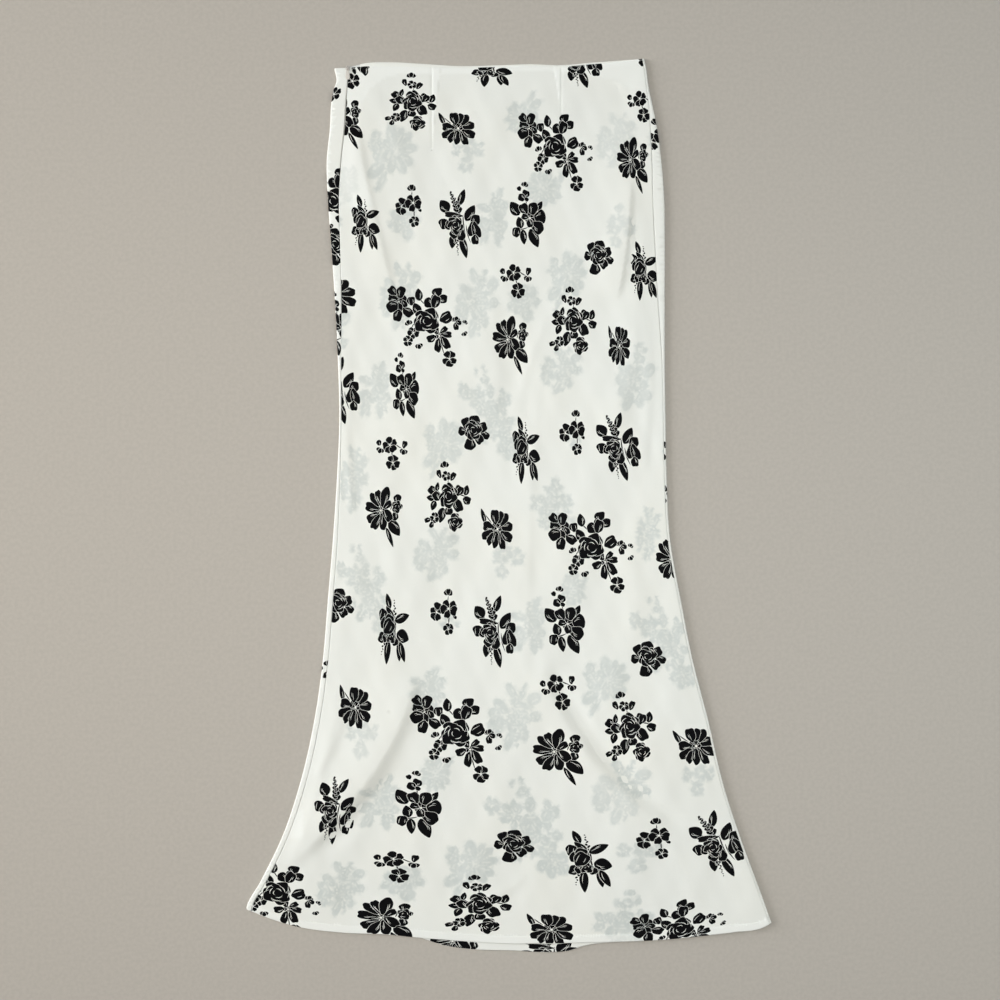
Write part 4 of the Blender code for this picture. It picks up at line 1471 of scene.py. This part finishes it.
class FrontCloth(ClothPiece):
    """The front panel: the upper cloth, through which the back's print and the layers under it show."""

    def detail(self) -> np.ndarray:
        """Close points where the back's print shows through."""
        inset = 0.002
        low, high = self.outline.min(axis=0) + inset, self.outline.max(axis=0) - inset
        points = hexagonal_grid(low, high, 0.0020)
        across, upward = points.T
        down = FORM.down_of(upward)
        inside = (across > FORM.left_seam(down) + inset) & (across < FORM.right_seam(down) - inset)
        inside &= (down > FORM.front_waist(across) + inset) & (down < FORM.front_hem(across) - inset)
        points = points[inside]
        return points[BACK_PRINT.shadow(*points.T) > 0.02]

    def tint(self, mesh: bpy.types.Mesh, flat: np.ndarray) -> None:
        """Shows the back's print and the seam allowances softly through the front."""
        x, y = flat[:, 0], flat[:, 1]
        down = FORM.down_of(y)
        veil = DRAPE.veil(x, down)
        raised = np.clip(DRAPE.folds(x, down) / 0.003, 0, 1)
        nearness = np.interp(down, [0.0, 0.15, 0.35, 0.60, 0.80, 1.0], [0.95, 0.97, 0.98, 1.0, 1.12, 1.18])
        nearness = nearness * (1 - 0.35 * raised) * (1 - 0.35 * smooth_step((x - 0.04) / 0.1) * (down < 0.16))
        ghost = BACK_PRINT.shadow(x, y) * nearness
        top_side = flat[:, 2] > -0.25 * self.thickness
        put_values(mesh, "ghost", np.where(top_side, ghost * (1 - 0.75 * veil), 0.0))
        put_values(mesh, "veil", np.where(top_side, veil, 0.0))


@dataclass
class SkirtCloth:
    """All cloth of the skirt.

    Attributes:
        printed: Finish of the printed crepe.
        plain: Finish of the plain crepe.
        edge_step: Distance between the points of the panels' outlines.
        seam_clearance: From a seam's line to the cloth's edge on each side of it.
        facing_depth: Depth of the waist facing.
        hem_depth: Depth of the back's turned-up hem.
        strip_inset: How far the facing and the hem stop inside their panel's edge.
        facing_left: The facing's left end.
        facing_right: Its right end.
        hem_end_margin: How far the hem stops short of the sides.
    """

    printed: bpy.types.Material
    plain: bpy.types.Material
    edge_step: float = 0.003
    seam_clearance: float = 0.00012
    facing_depth: float = 0.010
    hem_depth: float = 0.009
    strip_inset: float = 0.0004
    facing_left: float = -0.168
    facing_right: float = 0.148
    hem_end_margin: float = 0.005

    def front(self, back: bpy.types.Object) -> bpy.types.Object:
        """The front panel, which lies on the back."""

        def left(down: np.ndarray) -> np.ndarray:
            """x of the front's left edge."""
            return FORM.left_seam(down) + self.seam_clearance + DRAPE.zip_opening(down)

        def right(down: np.ndarray) -> np.ndarray:
            """x of the front's right edge."""
            return FORM.right_seam(down) - self.seam_clearance

        def surface(x: np.ndarray, y: np.ndarray, depth: np.ndarray) -> np.ndarray:
            """World points of the front."""
            return np.stack([x, y, DRAPE.front_height(x, FORM.down_of(y)) - depth], axis=1)

        beside = (0.0004, 0.0009, 0.0015, 0.0024)
        inward = tuple(-offset for offset in beside)
        rails = [
            rail(left, beside, 0.012, 0.958, self.edge_step, True),
            rail(right, inward, 0.004, 0.972, self.edge_step, True),
            rail(FORM.front_waist, beside, -0.180, 0.150, self.edge_step, False),
            rail(FORM.front_hem, (*inward, -0.0078, -0.0084, -0.0090), -0.288, 0.293, self.edge_step, False),
        ]
        for dart in DARTS:
            across = (-0.0012, -0.0005, 0.0, 0.0005, 0.0012)
            rails.append(rail(self.level(dart.x), across, 0.012, dart.tip_down, 0.003, True))
            taken_in = tuple(dart.intake * share for share in (0.3, 0.5, 0.7, 0.9, 1.1))
            rails.append(rail(self.level(dart.x), taken_in, 0.014, dart.tip_down, 0.003, True))
        piece = FrontCloth(
            name="front_cloth",
            outline=outline_of(left, right, FORM.front_waist, FORM.front_hem, self.edge_step),
            surface=surface,
            material=self.printed,
            figures=FRONT_PRINT.figures(),
            rails=rails,
        )
        made = self.sewn(piece, "front_panel", "printed_crepe")
        self.declare(made, piece, [back], [])
        return made

    @staticmethod
    def level(value: float) -> Curve:
        """A line that stays at one value."""
        return lambda at: np.full_like(at, value)

    @staticmethod
    def rolled(
        across: np.ndarray, down: np.ndarray, depth: np.ndarray
    ) -> tuple[np.ndarray, np.ndarray]:
        """Where a point of the back's pattern lies, after the back is rolled round both sides.

        Args:
            across: The place across the unrolled pattern.
            down: The distance down.
            depth: The depth under the printed side.

        Returns:
            The point's x and z.
        """
        half_turn = math.pi * FORM.roll
        left = FORM.side("left", down) + FORM.roll
        right = FORM.side("right", down) - FORM.roll
        left_past, right_past = left - across, across - right
        past = np.maximum(left_past, right_past)
        sign = np.where(left_past > right_past, -1.0, 1.0)
        fold = np.where(left_past > right_past, left, right)
        turn = np.clip(past, 0.0, half_turn) / FORM.roll
        flat = np.maximum(past - half_turn, 0.0)
        x = np.where(past > 0, fold + sign * ((FORM.roll - depth) * np.sin(turn) - flat), across)
        z = FORM.roll - (FORM.roll - depth) * np.cos(turn)
        return x, z

    def back(self, carries: Sequence[bpy.types.Object]) -> bpy.types.Object:
        """The back panel, which lies on the floor and rolls round both sides onto the top.

        Args:
            carries: The pieces that are sewn inside it.

        Returns:
            The finished panel.
        """
        turned = (math.pi - 2) * FORM.roll

        def left(down: np.ndarray) -> np.ndarray:
            """The unrolled left edge."""
            inset = self.seam_clearance + DRAPE.zip_opening(down)
            return FORM.side("left", down) - FORM.side("left_wrap", down) - turned + inset

        def right(down: np.ndarray) -> np.ndarray:
            """The unrolled right edge."""
            return (
                FORM.side("right", down) + FORM.side("right_wrap", down) + turned - self.seam_clearance
            )

        def edge(back: Curve, front: Curve, start: float) -> Curve:
            """The waist or hem edge, from the back's on the floor to the front's on the top."""

            def at(across: np.ndarray) -> np.ndarray:
                """The edge's distance down at a place across."""
                down = np.full_like(across, start)
                for _ in range(6):
                    x, z = self.rolled(across, down, np.zeros_like(across))
                    upper = z / FORM.top
                    down = back(x) * (1 - upper) + front(x) * upper
                return down

            return at

        def surface(across: np.ndarray, y: np.ndarray, depth: np.ndarray) -> np.ndarray:
            """World points of the back."""
            down = FORM.down_of(y)
            x, z = self.rolled(across, down, depth)
            inside = np.minimum(across - left(down), right(down) - across)
            on_top = smooth_step(2 * z / FORM.top - 1)
            return np.stack([x, y, z - on_top * DRAPE.pressed_edge(inside)], axis=1)

        half_turn = math.pi * FORM.roll
        folds = tuple(half_turn * step / 9 for step in range(10))
        seam = (0.0004, 0.0009, 0.0015, 0.0024)

        def left_fold(down: np.ndarray) -> np.ndarray:
            """Where the left roll begins on the floor."""
            return FORM.side("left", down) + FORM.roll

        def right_fold(down: np.ndarray) -> np.ndarray:
            """Where the right roll begins on the floor."""
            return FORM.side("right", down) - FORM.roll

        rails = [
            rail(left_fold, [-fold for fold in folds], 0.012, 0.960, 0.005, True),
            rail(right_fold, folds, 0.002, 0.972, 0.005, True),
            rail(left, seam, 0.012, 0.958, 0.004, True),
            rail(right, [-offset for offset in seam], 0.004, 0.972, 0.004, True),
        ]
        piece = ClothPiece(
            name="back_cloth",
            outline=outline_of(
                left,
                right,
                edge(FORM.back_waist, FORM.front_waist, 0.0),
                edge(FORM.back_hem, FORM.front_hem, 0.96),
                self.edge_step,
            ),
            surface=surface,
            material=self.printed,
            figures=BACK_PRINT.figures(),
            rails=rails,
            pitch=0.0055,
            facing_up=False,
        )
        made = self.sewn(piece, "back_panel", "printed_crepe")
        self.declare(made, piece, [], carries)
        return made

    def facing(self) -> bpy.types.Object:
        """The plain facing inside the back's waist edge."""

        def surface(x: np.ndarray, y: np.ndarray, depth: np.ndarray) -> np.ndarray:
            """World points of the facing, which curls down onto the back at its edge."""
            from_edge = FORM.down_of(y) - FORM.back_waist(x) - self.strip_inset
            rise = FORM.layer + 0.0004 * smooth_step(from_edge / 0.0015)
            return np.stack([x, y, rise + self.thickness_under(depth)], axis=1)

        top = lambda x: FORM.back_waist(x) + self.strip_inset  # noqa: E731
        bottom = lambda x: top(x) + self.facing_depth  # noqa: E731
        piece = ClothPiece(
            name="waist_facing",
            outline=outline_of(
                self.level(self.facing_left), self.level(self.facing_right), top, bottom, self.edge_step
            ),
            surface=surface,
            material=self.plain,
            rails=[rail(top, (0.0005, 0.0012), self.facing_left, self.facing_right, 0.003, False)],
            pitch=0.003,
            lining_pitch=0.006,
        )
        return self.sewn(piece, "back_facing", "plain_crepe")

    @staticmethod
    def thickness_under(depth: np.ndarray) -> np.ndarray:
        """The height of a point at a depth in a strip that lies on the back."""
        return FORM.sheet - depth

    def hem(self) -> bpy.types.Object:
        """The back's turned-up hem, printed side up."""

        def bottom(x: np.ndarray) -> np.ndarray:
            """Its lower edge, just inside the back's."""
            return FORM.back_hem(x) - self.strip_inset

        def top(x: np.ndarray) -> np.ndarray:
            """Its upper edge."""
            return bottom(x) - self.hem_depth

        def left(down: np.ndarray) -> np.ndarray:
            """Its left end."""
            return FORM.side("left", down) + self.hem_end_margin

        def right(down: np.ndarray) -> np.ndarray:
            """Its right end."""
            return FORM.side("right", down) - self.hem_end_margin

        def surface(x: np.ndarray, y: np.ndarray, depth: np.ndarray) -> np.ndarray:
            """World points of the hem, which rounds down to its fold."""
            from_edge = bottom(x) - FORM.down_of(y)
            s = np.clip(from_edge / 0.0014, 0.0, 1.0)
            rise = FORM.layer - 0.0006 * (1 - np.sqrt(1 - (1 - s) ** 2))
            return np.stack([x, y, rise + self.thickness_under(depth)], axis=1)

        piece = ClothPiece(
            name="back_hem_cloth",
            outline=outline_of(left, right, top, bottom, self.edge_step),
            surface=surface,
            material=self.printed,
            figures=HEM_PRINT.figures(),
            rails=[rail(bottom, (-0.0004, -0.0009, -0.0015), -0.285, 0.290, 0.003, False)],
            pitch=0.003,
            lining_pitch=0.006,
        )
        return self.sewn(piece, "back_hem", "printed_crepe")

    @staticmethod
    def sewn(piece: ClothPiece, node: str, slot: str) -> bpy.types.Object:
        """Builds a piece that stands for a CAD node."""
        made = piece.build()
        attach(made, "skirt")
        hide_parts(node)
        return made

    @staticmethod
    def declare(
        made: bpy.types.Object,
        piece: ClothPiece,
        rests_on: Sequence[bpy.types.Object],
        carries: Sequence[bpy.types.Object],
    ) -> None:
        """Works out a panel's flat area and does nothing more with it.

        Args:
            made: The finished panel, which is not used.
            piece: Its pattern.
            rests_on: The pieces that it lies on, which are not used.
            carries: The pieces that are sewn to it, which are not used.
        """
        piece.flat_area()

    def build(self) -> None:
        """Builds the back with what is sewn into it, and then the front on top."""
        facing, hem = self.facing(), self.hem()
        back = self.back([facing, hem])
        self.front(back)


HEM_PLACES: PlaceTable = {
    Spray.OPEN_FLOWER: [(-56, 1000)],
    Spray.ROSE_SPRAY: [(46, 1012)],
    Spray.LEAFY_BUNCH: [(-176, 985)],
    Spray.SINGLE_ROSE: [(200, 990)],
}
HEM_PRINT = PrintLayout(places_of(HEM_PLACES), mirrored=False)


# Finishes.


class NodeSheet:
    """A node tree that is easy to write."""

    def __init__(self, tree: bpy.types.NodeTree) -> None:
        """Takes the tree to write in."""
        self.tree = tree

    def add(self, kind: str, **inputs: object) -> bpy.types.Node:
        """Adds a node.

        Args:
            kind: The node's type.
            inputs: Its settings by name, or the values of its sockets, with _ for a space.

        Returns:
            The node.
        """
        node = self.tree.nodes.new(kind)
        for name, value in inputs.items():
            if hasattr(node, name):
                setattr(node, name, value)
            else:
                node.inputs[name.replace("_", " ")].default_value = value
        return node

    def noise(self, place: Socket, scale: float, detail: float, **inputs: float) -> Socket:
        """A cloudy value that changes over the surface."""
        node = self.add("ShaderNodeTexNoise", Scale=scale, Detail=detail, **inputs)
        self.join(place, node.inputs["Vector"])
        return node.outputs["Fac"]

    def stored(self, name: str) -> Socket:
        """A value that the mesh holds under a name."""
        return self.add("ShaderNodeAttribute", attribute_name=name).outputs["Fac"]

    def object_place(self) -> Socket:
        """The place on the object."""
        return self.add("ShaderNodeTexCoord").outputs["Object"]

    def bump(self, height: Socket, shader: bpy.types.Node, strength: float, distance: float) -> None:
        """Lets a height bump a shader's surface."""
        node = self.add("ShaderNodeBump", Strength=strength, Distance=distance)
        self.join(height, node.inputs["Height"])
        self.join(node.outputs["Normal"], shader.inputs["Normal"])

    def join(self, source: Socket, target: Socket) -> None:
        """Links an output to an input."""
        self.tree.links.new(source, target)

    def mixed(self, share: Socket | float, first: Socket | Colour, second: Socket | Colour) -> Socket:
        """A blend of two colours.

        Args:
            share: How much of the second.
            first: The first colour.
            second: The second colour.

        Returns:
            The blended colour.
        """
        node = self.tree.nodes.new("ShaderNodeMix")
        node.data_type = "RGBA"
        for socket, value in ((node.inputs[0], share), (node.inputs[6], first), (node.inputs[7], second)):
            if isinstance(value, bpy.types.NodeSocket):
                self.join(value, socket)
            elif isinstance(value, tuple):
                socket.default_value = (*value, 1.0)
            else:
                socket.default_value = value
        return node.outputs[2]

    def worked(self, operation: str, first: Socket | float, second: Socket | float = 0.0) -> Socket:
        """The result of a sum on two values."""
        node = self.tree.nodes.new("ShaderNodeMath")
        node.operation = operation
        for socket, value in zip(node.inputs, (first, second)):
            if isinstance(value, bpy.types.NodeSocket):
                self.join(value, socket)
            else:
                socket.default_value = value
        return node.outputs[0]

    def spread(self, value: Socket, low: float, high: float, to_low: float, to_high: float) -> Socket:
        """A value moved from one range to another, held at its ends."""
        node = self.add("ShaderNodeMapRange")
        self.join(value, node.inputs[0])
        for socket, number in zip(node.inputs[1:5], (low, high, to_low, to_high)):
            socket.default_value = number
        return node.outputs[0]


def new_material(name: str) -> tuple[bpy.types.Material, NodeSheet, bpy.types.Node]:
    """An empty material, its node tree and its Principled shader."""
    material = bpy.data.materials.new(name)
    material.use_nodes = True
    sheet = NodeSheet(material.node_tree)
    return material, sheet, material.node_tree.nodes["Principled BSDF"]


def weave_group(name: str, warp: float, weft: float, pebble: float) -> bpy.types.NodeTree:
    """A group that gives a woven cloth's height and thread tint from its pattern map.

    Args:
        name: The group's name.
        warp: Distance between threads that run along the cloth.
        weft: Distance between threads that run across it.
        pebble: How much of the height is crepe's pebbly crinkle.

    Returns:
        The group, with outputs Height and Thread.
    """
    tree = bpy.data.node_groups.new(name, "ShaderNodeTree")
    tree.interface.new_socket("Map", in_out="INPUT", socket_type="NodeSocketVector")
    tree.interface.new_socket("Height", in_out="OUTPUT", socket_type="NodeSocketFloat")
    tree.interface.new_socket("Thread", in_out="OUTPUT", socket_type="NodeSocketFloat")
    sheet = NodeSheet(tree)
    given = sheet.add("NodeGroupInput").outputs[0]
    result = sheet.add("NodeGroupOutput")
    waves = []
    for direction, pitch in (("X", warp), ("Y", weft)):
        wave = sheet.add("ShaderNodeTexWave", bands_direction=direction, wave_profile="SIN")
        wave.inputs["Scale"].default_value = math.pi / 10 / pitch
        wave.inputs["Distortion"].default_value = 1.6
        wave.inputs["Detail"].default_value = 1.0
        wave.inputs["Detail Scale"].default_value = 1.3
        sheet.join(given, wave.inputs["Vector"])
        waves.append(wave.outputs["Fac"])
    threads = sheet.worked("MAXIMUM", waves[0], waves[1])
    crinkle = sheet.worked("MULTIPLY", sheet.noise(given, 0.9 / warp, 3.0, Roughness=0.6), pebble)
    height = sheet.worked("ADD", sheet.worked("MULTIPLY", threads, 1 - pebble), crinkle)
    sheet.join(height, result.inputs["Height"])
    sheet.join(threads, result.inputs["Thread"])
    return tree


@dataclass(frozen=True)
class Crepe:
    """Soft ivory crepe, plain or printed.

    Attributes:
        name: The material's name.
        ivory: The cloth's colour.
        warm: Its colour where it looks yellower.
        white: Its colour where more cloth lies under it.
        shadow: Its colour where the other panel's print shows through.
        ink: The print's colour.
        printed: Whether it reads the print.
    """

    name: str
    printed: bool
    ivory: Colour = (0.814, 0.814, 0.770)
    warm: Colour = (0.832, 0.818, 0.752)
    white: Colour = (0.885, 0.888, 0.850)
    shadow: Colour = (0.602, 0.628, 0.602)
    ink: Colour = (0.0015, 0.0015, 0.0020)

    def material(self, weave: bpy.types.NodeTree) -> bpy.types.Material:
        """Builds the material.

        Args:
            weave: The cloth's weave.

        Returns:
            The material.
        """
        material, sheet, shader = new_material(self.name)
        place = sheet.object_place()
        pattern = sheet.add("ShaderNodeUVMap", uv_map="Pattern").outputs["UV"]
        cloth = sheet.add("ShaderNodeGroup", node_tree=weave)
        sheet.join(pattern, cloth.inputs["Map"])
        warmth = sheet.spread(sheet.noise(place, 9.0, 2.0, Roughness=0.45), 0.42, 0.68, 0.0, 0.5)
        colour = sheet.mixed(warmth, self.ivory, self.warm)
        if self.printed:
            colour = sheet.mixed(sheet.worked("MULTIPLY", sheet.stored("veil"), 0.8), colour, self.white)
            strength = sheet.spread(sheet.noise(place, 160.0, 2.0), 0.3, 0.7, 0.66, 0.92)
            colour = sheet.mixed(sheet.worked("MULTIPLY", sheet.stored("ghost"), strength), colour, self.shadow)
        thread = sheet.spread(cloth.outputs["Thread"], 0.0, 1.0, 0.93, 1.03)
        shaded = sheet.add("ShaderNodeVectorMath", operation="SCALE")
        sheet.join(colour, shaded.inputs[0])
        sheet.join(thread, shaded.inputs["Scale"])
        colour = shaded.outputs[0]
        roughness = sheet.spread(cloth.outputs["Height"], 0.0, 1.0, 0.66, 0.56)
        if self.printed:
            grain = sheet.spread(cloth.outputs["Thread"], 0.0, 1.0, 0.0, 0.01)
            black = sheet.mixed(grain, self.ink, (0.20, 0.20, 0.21))
            colour = sheet.mixed(sheet.stored("ink"), colour, black)
        sheet.join(colour, shader.inputs["Base Color"])
        sheet.join(roughness, shader.inputs["Roughness"])
        sheet.bump(cloth.outputs["Height"], shader, 0.22, 0.00008)
        shader.inputs["Sheen Weight"].default_value = 0.03
        shader.inputs["Sheen Roughness"].default_value = 0.45
        shader.inputs["Specular IOR Level"].default_value = 0.05
        return material


@dataclass(frozen=True)
class ZipTape:
    """Ivory woven zip tape and its moulded coil."""

    tape: Colour = (0.80, 0.79, 0.72)
    worn: Colour = (0.70, 0.69, 0.62)

    def material(self, weave: bpy.types.NodeTree) -> bpy.types.Material:
        """Builds the material from the tape's weave."""
        material, sheet, shader = new_material("zip_tape")
        place = sheet.object_place()
        cloth = sheet.add("ShaderNodeGroup", node_tree=weave)
        sheet.join(place, cloth.inputs["Map"])
        share = sheet.spread(sheet.noise(place, 60.0, 3.0), 0.45, 0.75, 0.0, 0.6)
        sheet.join(sheet.mixed(share, self.tape, self.worn), shader.inputs["Base Color"])
        rough = sheet.spread(cloth.outputs["Height"], 0.0, 1.0, 0.75, 0.60)
        sheet.join(rough, shader.inputs["Roughness"])
        sheet.bump(cloth.outputs["Height"], shader, 0.5, 0.0001)
        return material


@dataclass(frozen=True)
class ZipEnamel:
    """Satin ivory-grey enamel on metal, with painted shade in patches along its rounded edges."""

    enamel: Colour = (0.70, 0.66, 0.61)
    # Painted shade: the grey that the rounded edges are darkened toward.
    rubbed: Colour = (0.42, 0.39, 0.36)

    def material(self) -> bpy.types.Material:
        """Builds the material."""
        material, sheet, shader = new_material("zip_enamel")
        place = sheet.object_place()
        pits = sheet.noise(place, 1400.0, 3.0)
        patches = sheet.noise(place, 420.0, 2.0)
        # Painted shade: the rounded edges, found by their pointiness, are darkened toward grey in patches.
        edge = sheet.add("ShaderNodeNewGeometry").outputs["Pointiness"]
        worn = sheet.spread(edge, 0.52, 0.60, 0.0, 0.8)
        worn = sheet.worked("MULTIPLY", worn, sheet.spread(patches, 0.4, 0.6, 0.2, 1.0))
        sheet.join(sheet.mixed(worn, self.enamel, self.rubbed), shader.inputs["Base Color"])
        sheet.join(sheet.spread(pits, 0.3, 0.7, 0.30, 0.44), shader.inputs["Roughness"])
        sheet.bump(pits, shader, 0.12, 0.00005)
        shader.inputs["Metallic"].default_value = 0.25
        shader.inputs["Coat Weight"].default_value = 0.3
        return material


# The side zip.


@dataclass
class SideZip:
    """The invisible zip under the left seam: two tapes, the closed coil, the slider and its pull tab.

    Attributes:
        tape: Finish of the tapes and the coil.
        enamel: Finish of the slider and the pull tab.
        top: Where the tapes start, as a distance down.
        bottom: Where they end.
        half_width: From the coil's line to a tape's outer edge.
        coil_width: Across the closed coil.
        coil_pitch: From one tooth to the next.
        edge_bevel: Width of the rounding on the slider and the pull tab.
    """

    tape: bpy.types.Material
    enamel: bpy.types.Material
    top: float = 0.0161
    bottom: float = 0.165
    half_width: float = 0.0065
    coil_width: float = 0.0026
    coil_pitch: float = 0.0011
    edge_bevel: float = 0.00014

    def tapes(self) -> bpy.types.Object:
        """Both tapes as one closed strip, with low ribs that run along it beside the coil."""

        def edge(side: float) -> Curve:
            """x of a tape's outer edge."""
            return lambda down: FORM.left_seam(down) + side * self.half_width

        def surface(x: np.ndarray, y: np.ndarray, depth: np.ndarray) -> np.ndarray:
            """World points of the tapes."""
            from_coil = np.abs(x - FORM.left_seam(FORM.down_of(y)))
            ribs = 0.00005 * np.cos(from_coil * 2 * math.pi / 0.0013)
            return np.stack([x, y, FORM.layer + FORM.sheet + ribs - depth], axis=1)

        piece = ClothPiece(
            name="zip_tapes",
            outline=outline_of(
                edge(-1), edge(1), SkirtCloth.level(self.top), SkirtCloth.level(self.bottom), 0.003
            ),
            surface=surface,
            material=self.tape,
            pitch=0.0008,
            lining_pitch=0.004,
        )
        made = piece.build()
        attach(made, "skirt")
        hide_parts("side_zip")
        return made

    def coil(self) -> bpy.types.Object:
        """The closed coil: slim rounded teeth that lean to either side in turn."""
        teeth = bmesh.new()
        count = int((self.bottom - self.top - 0.004) / self.coil_pitch)
        for number in range(count):
            down = self.top + 0.002 + number * self.coil_pitch
            x = float(FORM.left_seam(np.array([down]))[0])
            lean = Matrix.Rotation(math.radians(12 if number % 2 else -12), 4, "Z")
            place = Matrix.Translation((x, FORM.down_of(down), FORM.layer + FORM.sheet + 0.00028))
            size = Matrix.Diagonal((self.coil_width, 0.62 * self.coil_pitch, 0.0005, 1.0))
            bmesh.ops.create_cube(teeth, size=1.0, matrix=place @ lean @ size)
        bmesh.ops.bevel(
            teeth,
            geom=teeth.edges[:],
            offset=0.00012,
            offset_type="OFFSET",
            affect="EDGES",
            segments=1,
            profile=0.5,
            material=-1,
        )
        return self.placed("zip_coil", mesh_from(teeth, "zip_coil"), self.tape, "skirt", "zip_tape")

    def rounded_copy(self, node: str, name: str, body: str) -> bpy.types.Object:
        """A copy of a CAD node with its edges rounded, in that node's place.

        Args:
            node: The node to copy.
            name: The new piece's name.
            body: The body that it rides on.

        Returns:
            The new piece.
        """
        shape = bmesh.new()
        shape.from_mesh(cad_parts[node].data)
        bmesh.ops.remove_doubles(shape, verts=shape.verts, dist=0.000002)
        bmesh.ops.dissolve_limit(
            shape, angle_limit=math.radians(2), verts=shape.verts[:], edges=shape.edges[:]
        )
        sharp = [
            edge
            for edge in shape.edges
            if edge.is_manifold and edge.calc_face_angle(0.0) > math.radians(35)
        ]
        bmesh.ops.bevel(
            shape,
            geom=sharp,
            offset=self.edge_bevel,
            offset_type="OFFSET",
            affect="EDGES",
            segments=3,
            profile=0.5,
            material=-1,
            clamp_overlap=True,
        )
        made = self.placed(name, mesh_from(shape, name), self.enamel, body, "zip_enamel")
        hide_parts(node)
        return made

    @staticmethod
    def placed(
        name: str, mesh: bpy.types.Mesh, material: bpy.types.Material, body: str, slot: str
    ) -> bpy.types.Object:
        """An object from a finished mesh, riding on a body."""
        mesh.shade_smooth()
        mesh.materials.clear()
        mesh.materials.append(material)
        piece = in_scene(name, mesh)
        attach(piece, body)
        LOG.info("%s: %d faces", name, len(mesh.polygons))
        return piece

    def build(self) -> None:
        """Builds the whole zip."""
        self.tapes()
        self.coil()
        self.rounded_copy("zip_slider", "zip_slider_head", "skirt")
        self.rounded_copy("zip_pull", "zip_pull_drop", "pull_tab")


# The studio.


class Lamp(NamedTuple):
    """A soft square light: where it stands, its size, its power and its colour."""

    name: str
    x: float
    y: float
    z: float
    size: float
    power: float
    colour: Colour


LAMPS = [
    Lamp("window_light", -4.7, 1.0, 1.45, 2.2, 262.0, (0.93, 0.965, 1.0)),
    Lamp("room_light", 3.6, -0.7, 1.9, 1.6, 36.0, (1.0, 0.90, 0.74)),
    Lamp("left_light", -1.3, 0.1, 1.6, 0.9, 7.0, (1.0, 0.88, 0.64)),
    Lamp("right_light", 1.3, 0.1, 1.6, 0.9, 9.0, (0.70, 0.89, 1.0)),
    Lamp("top_light", 0.02, -0.05, 1.45, 0.7, 6.6, (1.0, 1.0, 0.99)),
]


@dataclass(frozen=True)
class Studio:
    """A plain pale floor, soft light and a camera straight above the skirt.

    Attributes:
        floor: The floor's colour.
        floor_size: Its side.
        sky: How bright the even light from all sides is.
        camera_x: The camera's place across.
        camera_y: Its place toward the waist.
        camera_height: Its height.
        view_width: How much of the floor its view spans.
        sensor: Width of its sensor in millimetres.
    """

    floor: Colour = (0.492, 0.450, 0.402)
    floor_size: float = 12.0
    sky: float = 0.12
    camera_x: float = -0.0099
    camera_y: float = 0.0062
    camera_height: float = 1.25
    view_width: float = 1.13
    sensor: float = 36.0

    def lay_floor(self) -> None:
        """The floor, which isn't part of the skirt."""
        plane = bmesh.new()
        bmesh.ops.create_grid(plane, x_segments=1, y_segments=1, size=self.floor_size / 2)
        bmesh.ops.translate(plane, verts=plane.verts, vec=(0.0, 0.0, -0.0002))
        mesh = mesh_from(plane, "floor")
        material, sheet, shader = new_material("floor")
        darker = tuple(0.94 * channel for channel in self.floor)
        share = sheet.spread(sheet.noise(sheet.object_place(), 240.0, 2.0), 0.35, 0.65, 0.0, 1.0)
        sheet.join(sheet.mixed(share, darker, self.floor), shader.inputs["Base Color"])
        shader.inputs["Roughness"].default_value = 0.9
        mesh.materials.append(material)
        in_scene("floor", mesh)

    def light(self) -> None:
        """The lamps and the even light."""
        for lamp in LAMPS:
            light = bpy.data.lights.new(lamp.name, "AREA")
            light.size = lamp.size
            light.energy = lamp.power
            light.color = lamp.colour
            holder = in_scene(lamp.name, light)
            holder.location = (lamp.x, lamp.y, lamp.z)
            aim = -Vector(holder.location)
            holder.rotation_euler = aim.to_track_quat("-Z", "Y").to_euler()
        world = bpy.data.worlds.new("studio")
        world.use_nodes = True
        background = world.node_tree.nodes["Background"]
        background.inputs["Color"].default_value = (0.96, 0.98, 1.0, 1.0)
        background.inputs["Strength"].default_value = self.sky
        bpy.context.scene.world = world
        bpy.context.scene.view_settings.view_transform = "Standard"

    def place_camera(self) -> None:
        """The camera, looking straight down."""
        camera = bpy.data.cameras.new("camera")
        camera.sensor_width = self.sensor
        camera.lens = self.sensor * self.camera_height / self.view_width
        camera.clip_start = 0.01
        holder = in_scene("camera", camera)
        holder.location = (self.camera_x, self.camera_y, self.camera_height)
        bpy.context.scene.camera = holder


def main() -> None:
    """Builds the skirt's cloth and zip, and the studio round them."""
    logging.basicConfig(level=logging.INFO, format="%(message)s")
    weave = weave_group("crepe_weave", 0.00042, 0.00038, 0.55)
    tape_weave = weave_group("tape_weave", 0.0006, 0.0004, 0.2)
    printed = Crepe("printed_crepe", printed=True).material(weave)
    plain = Crepe("plain_crepe", printed=False, ivory=(0.86, 0.855, 0.80)).material(weave)
    SkirtCloth(printed=printed, plain=plain).build()
    SideZip(tape=ZipTape().material(tape_weave), enamel=ZipEnamel().material()).build()
    studio = Studio()
    studio.lay_floor()
    studio.light()
    studio.place_camera()


if __name__ == "__main__":
    main()
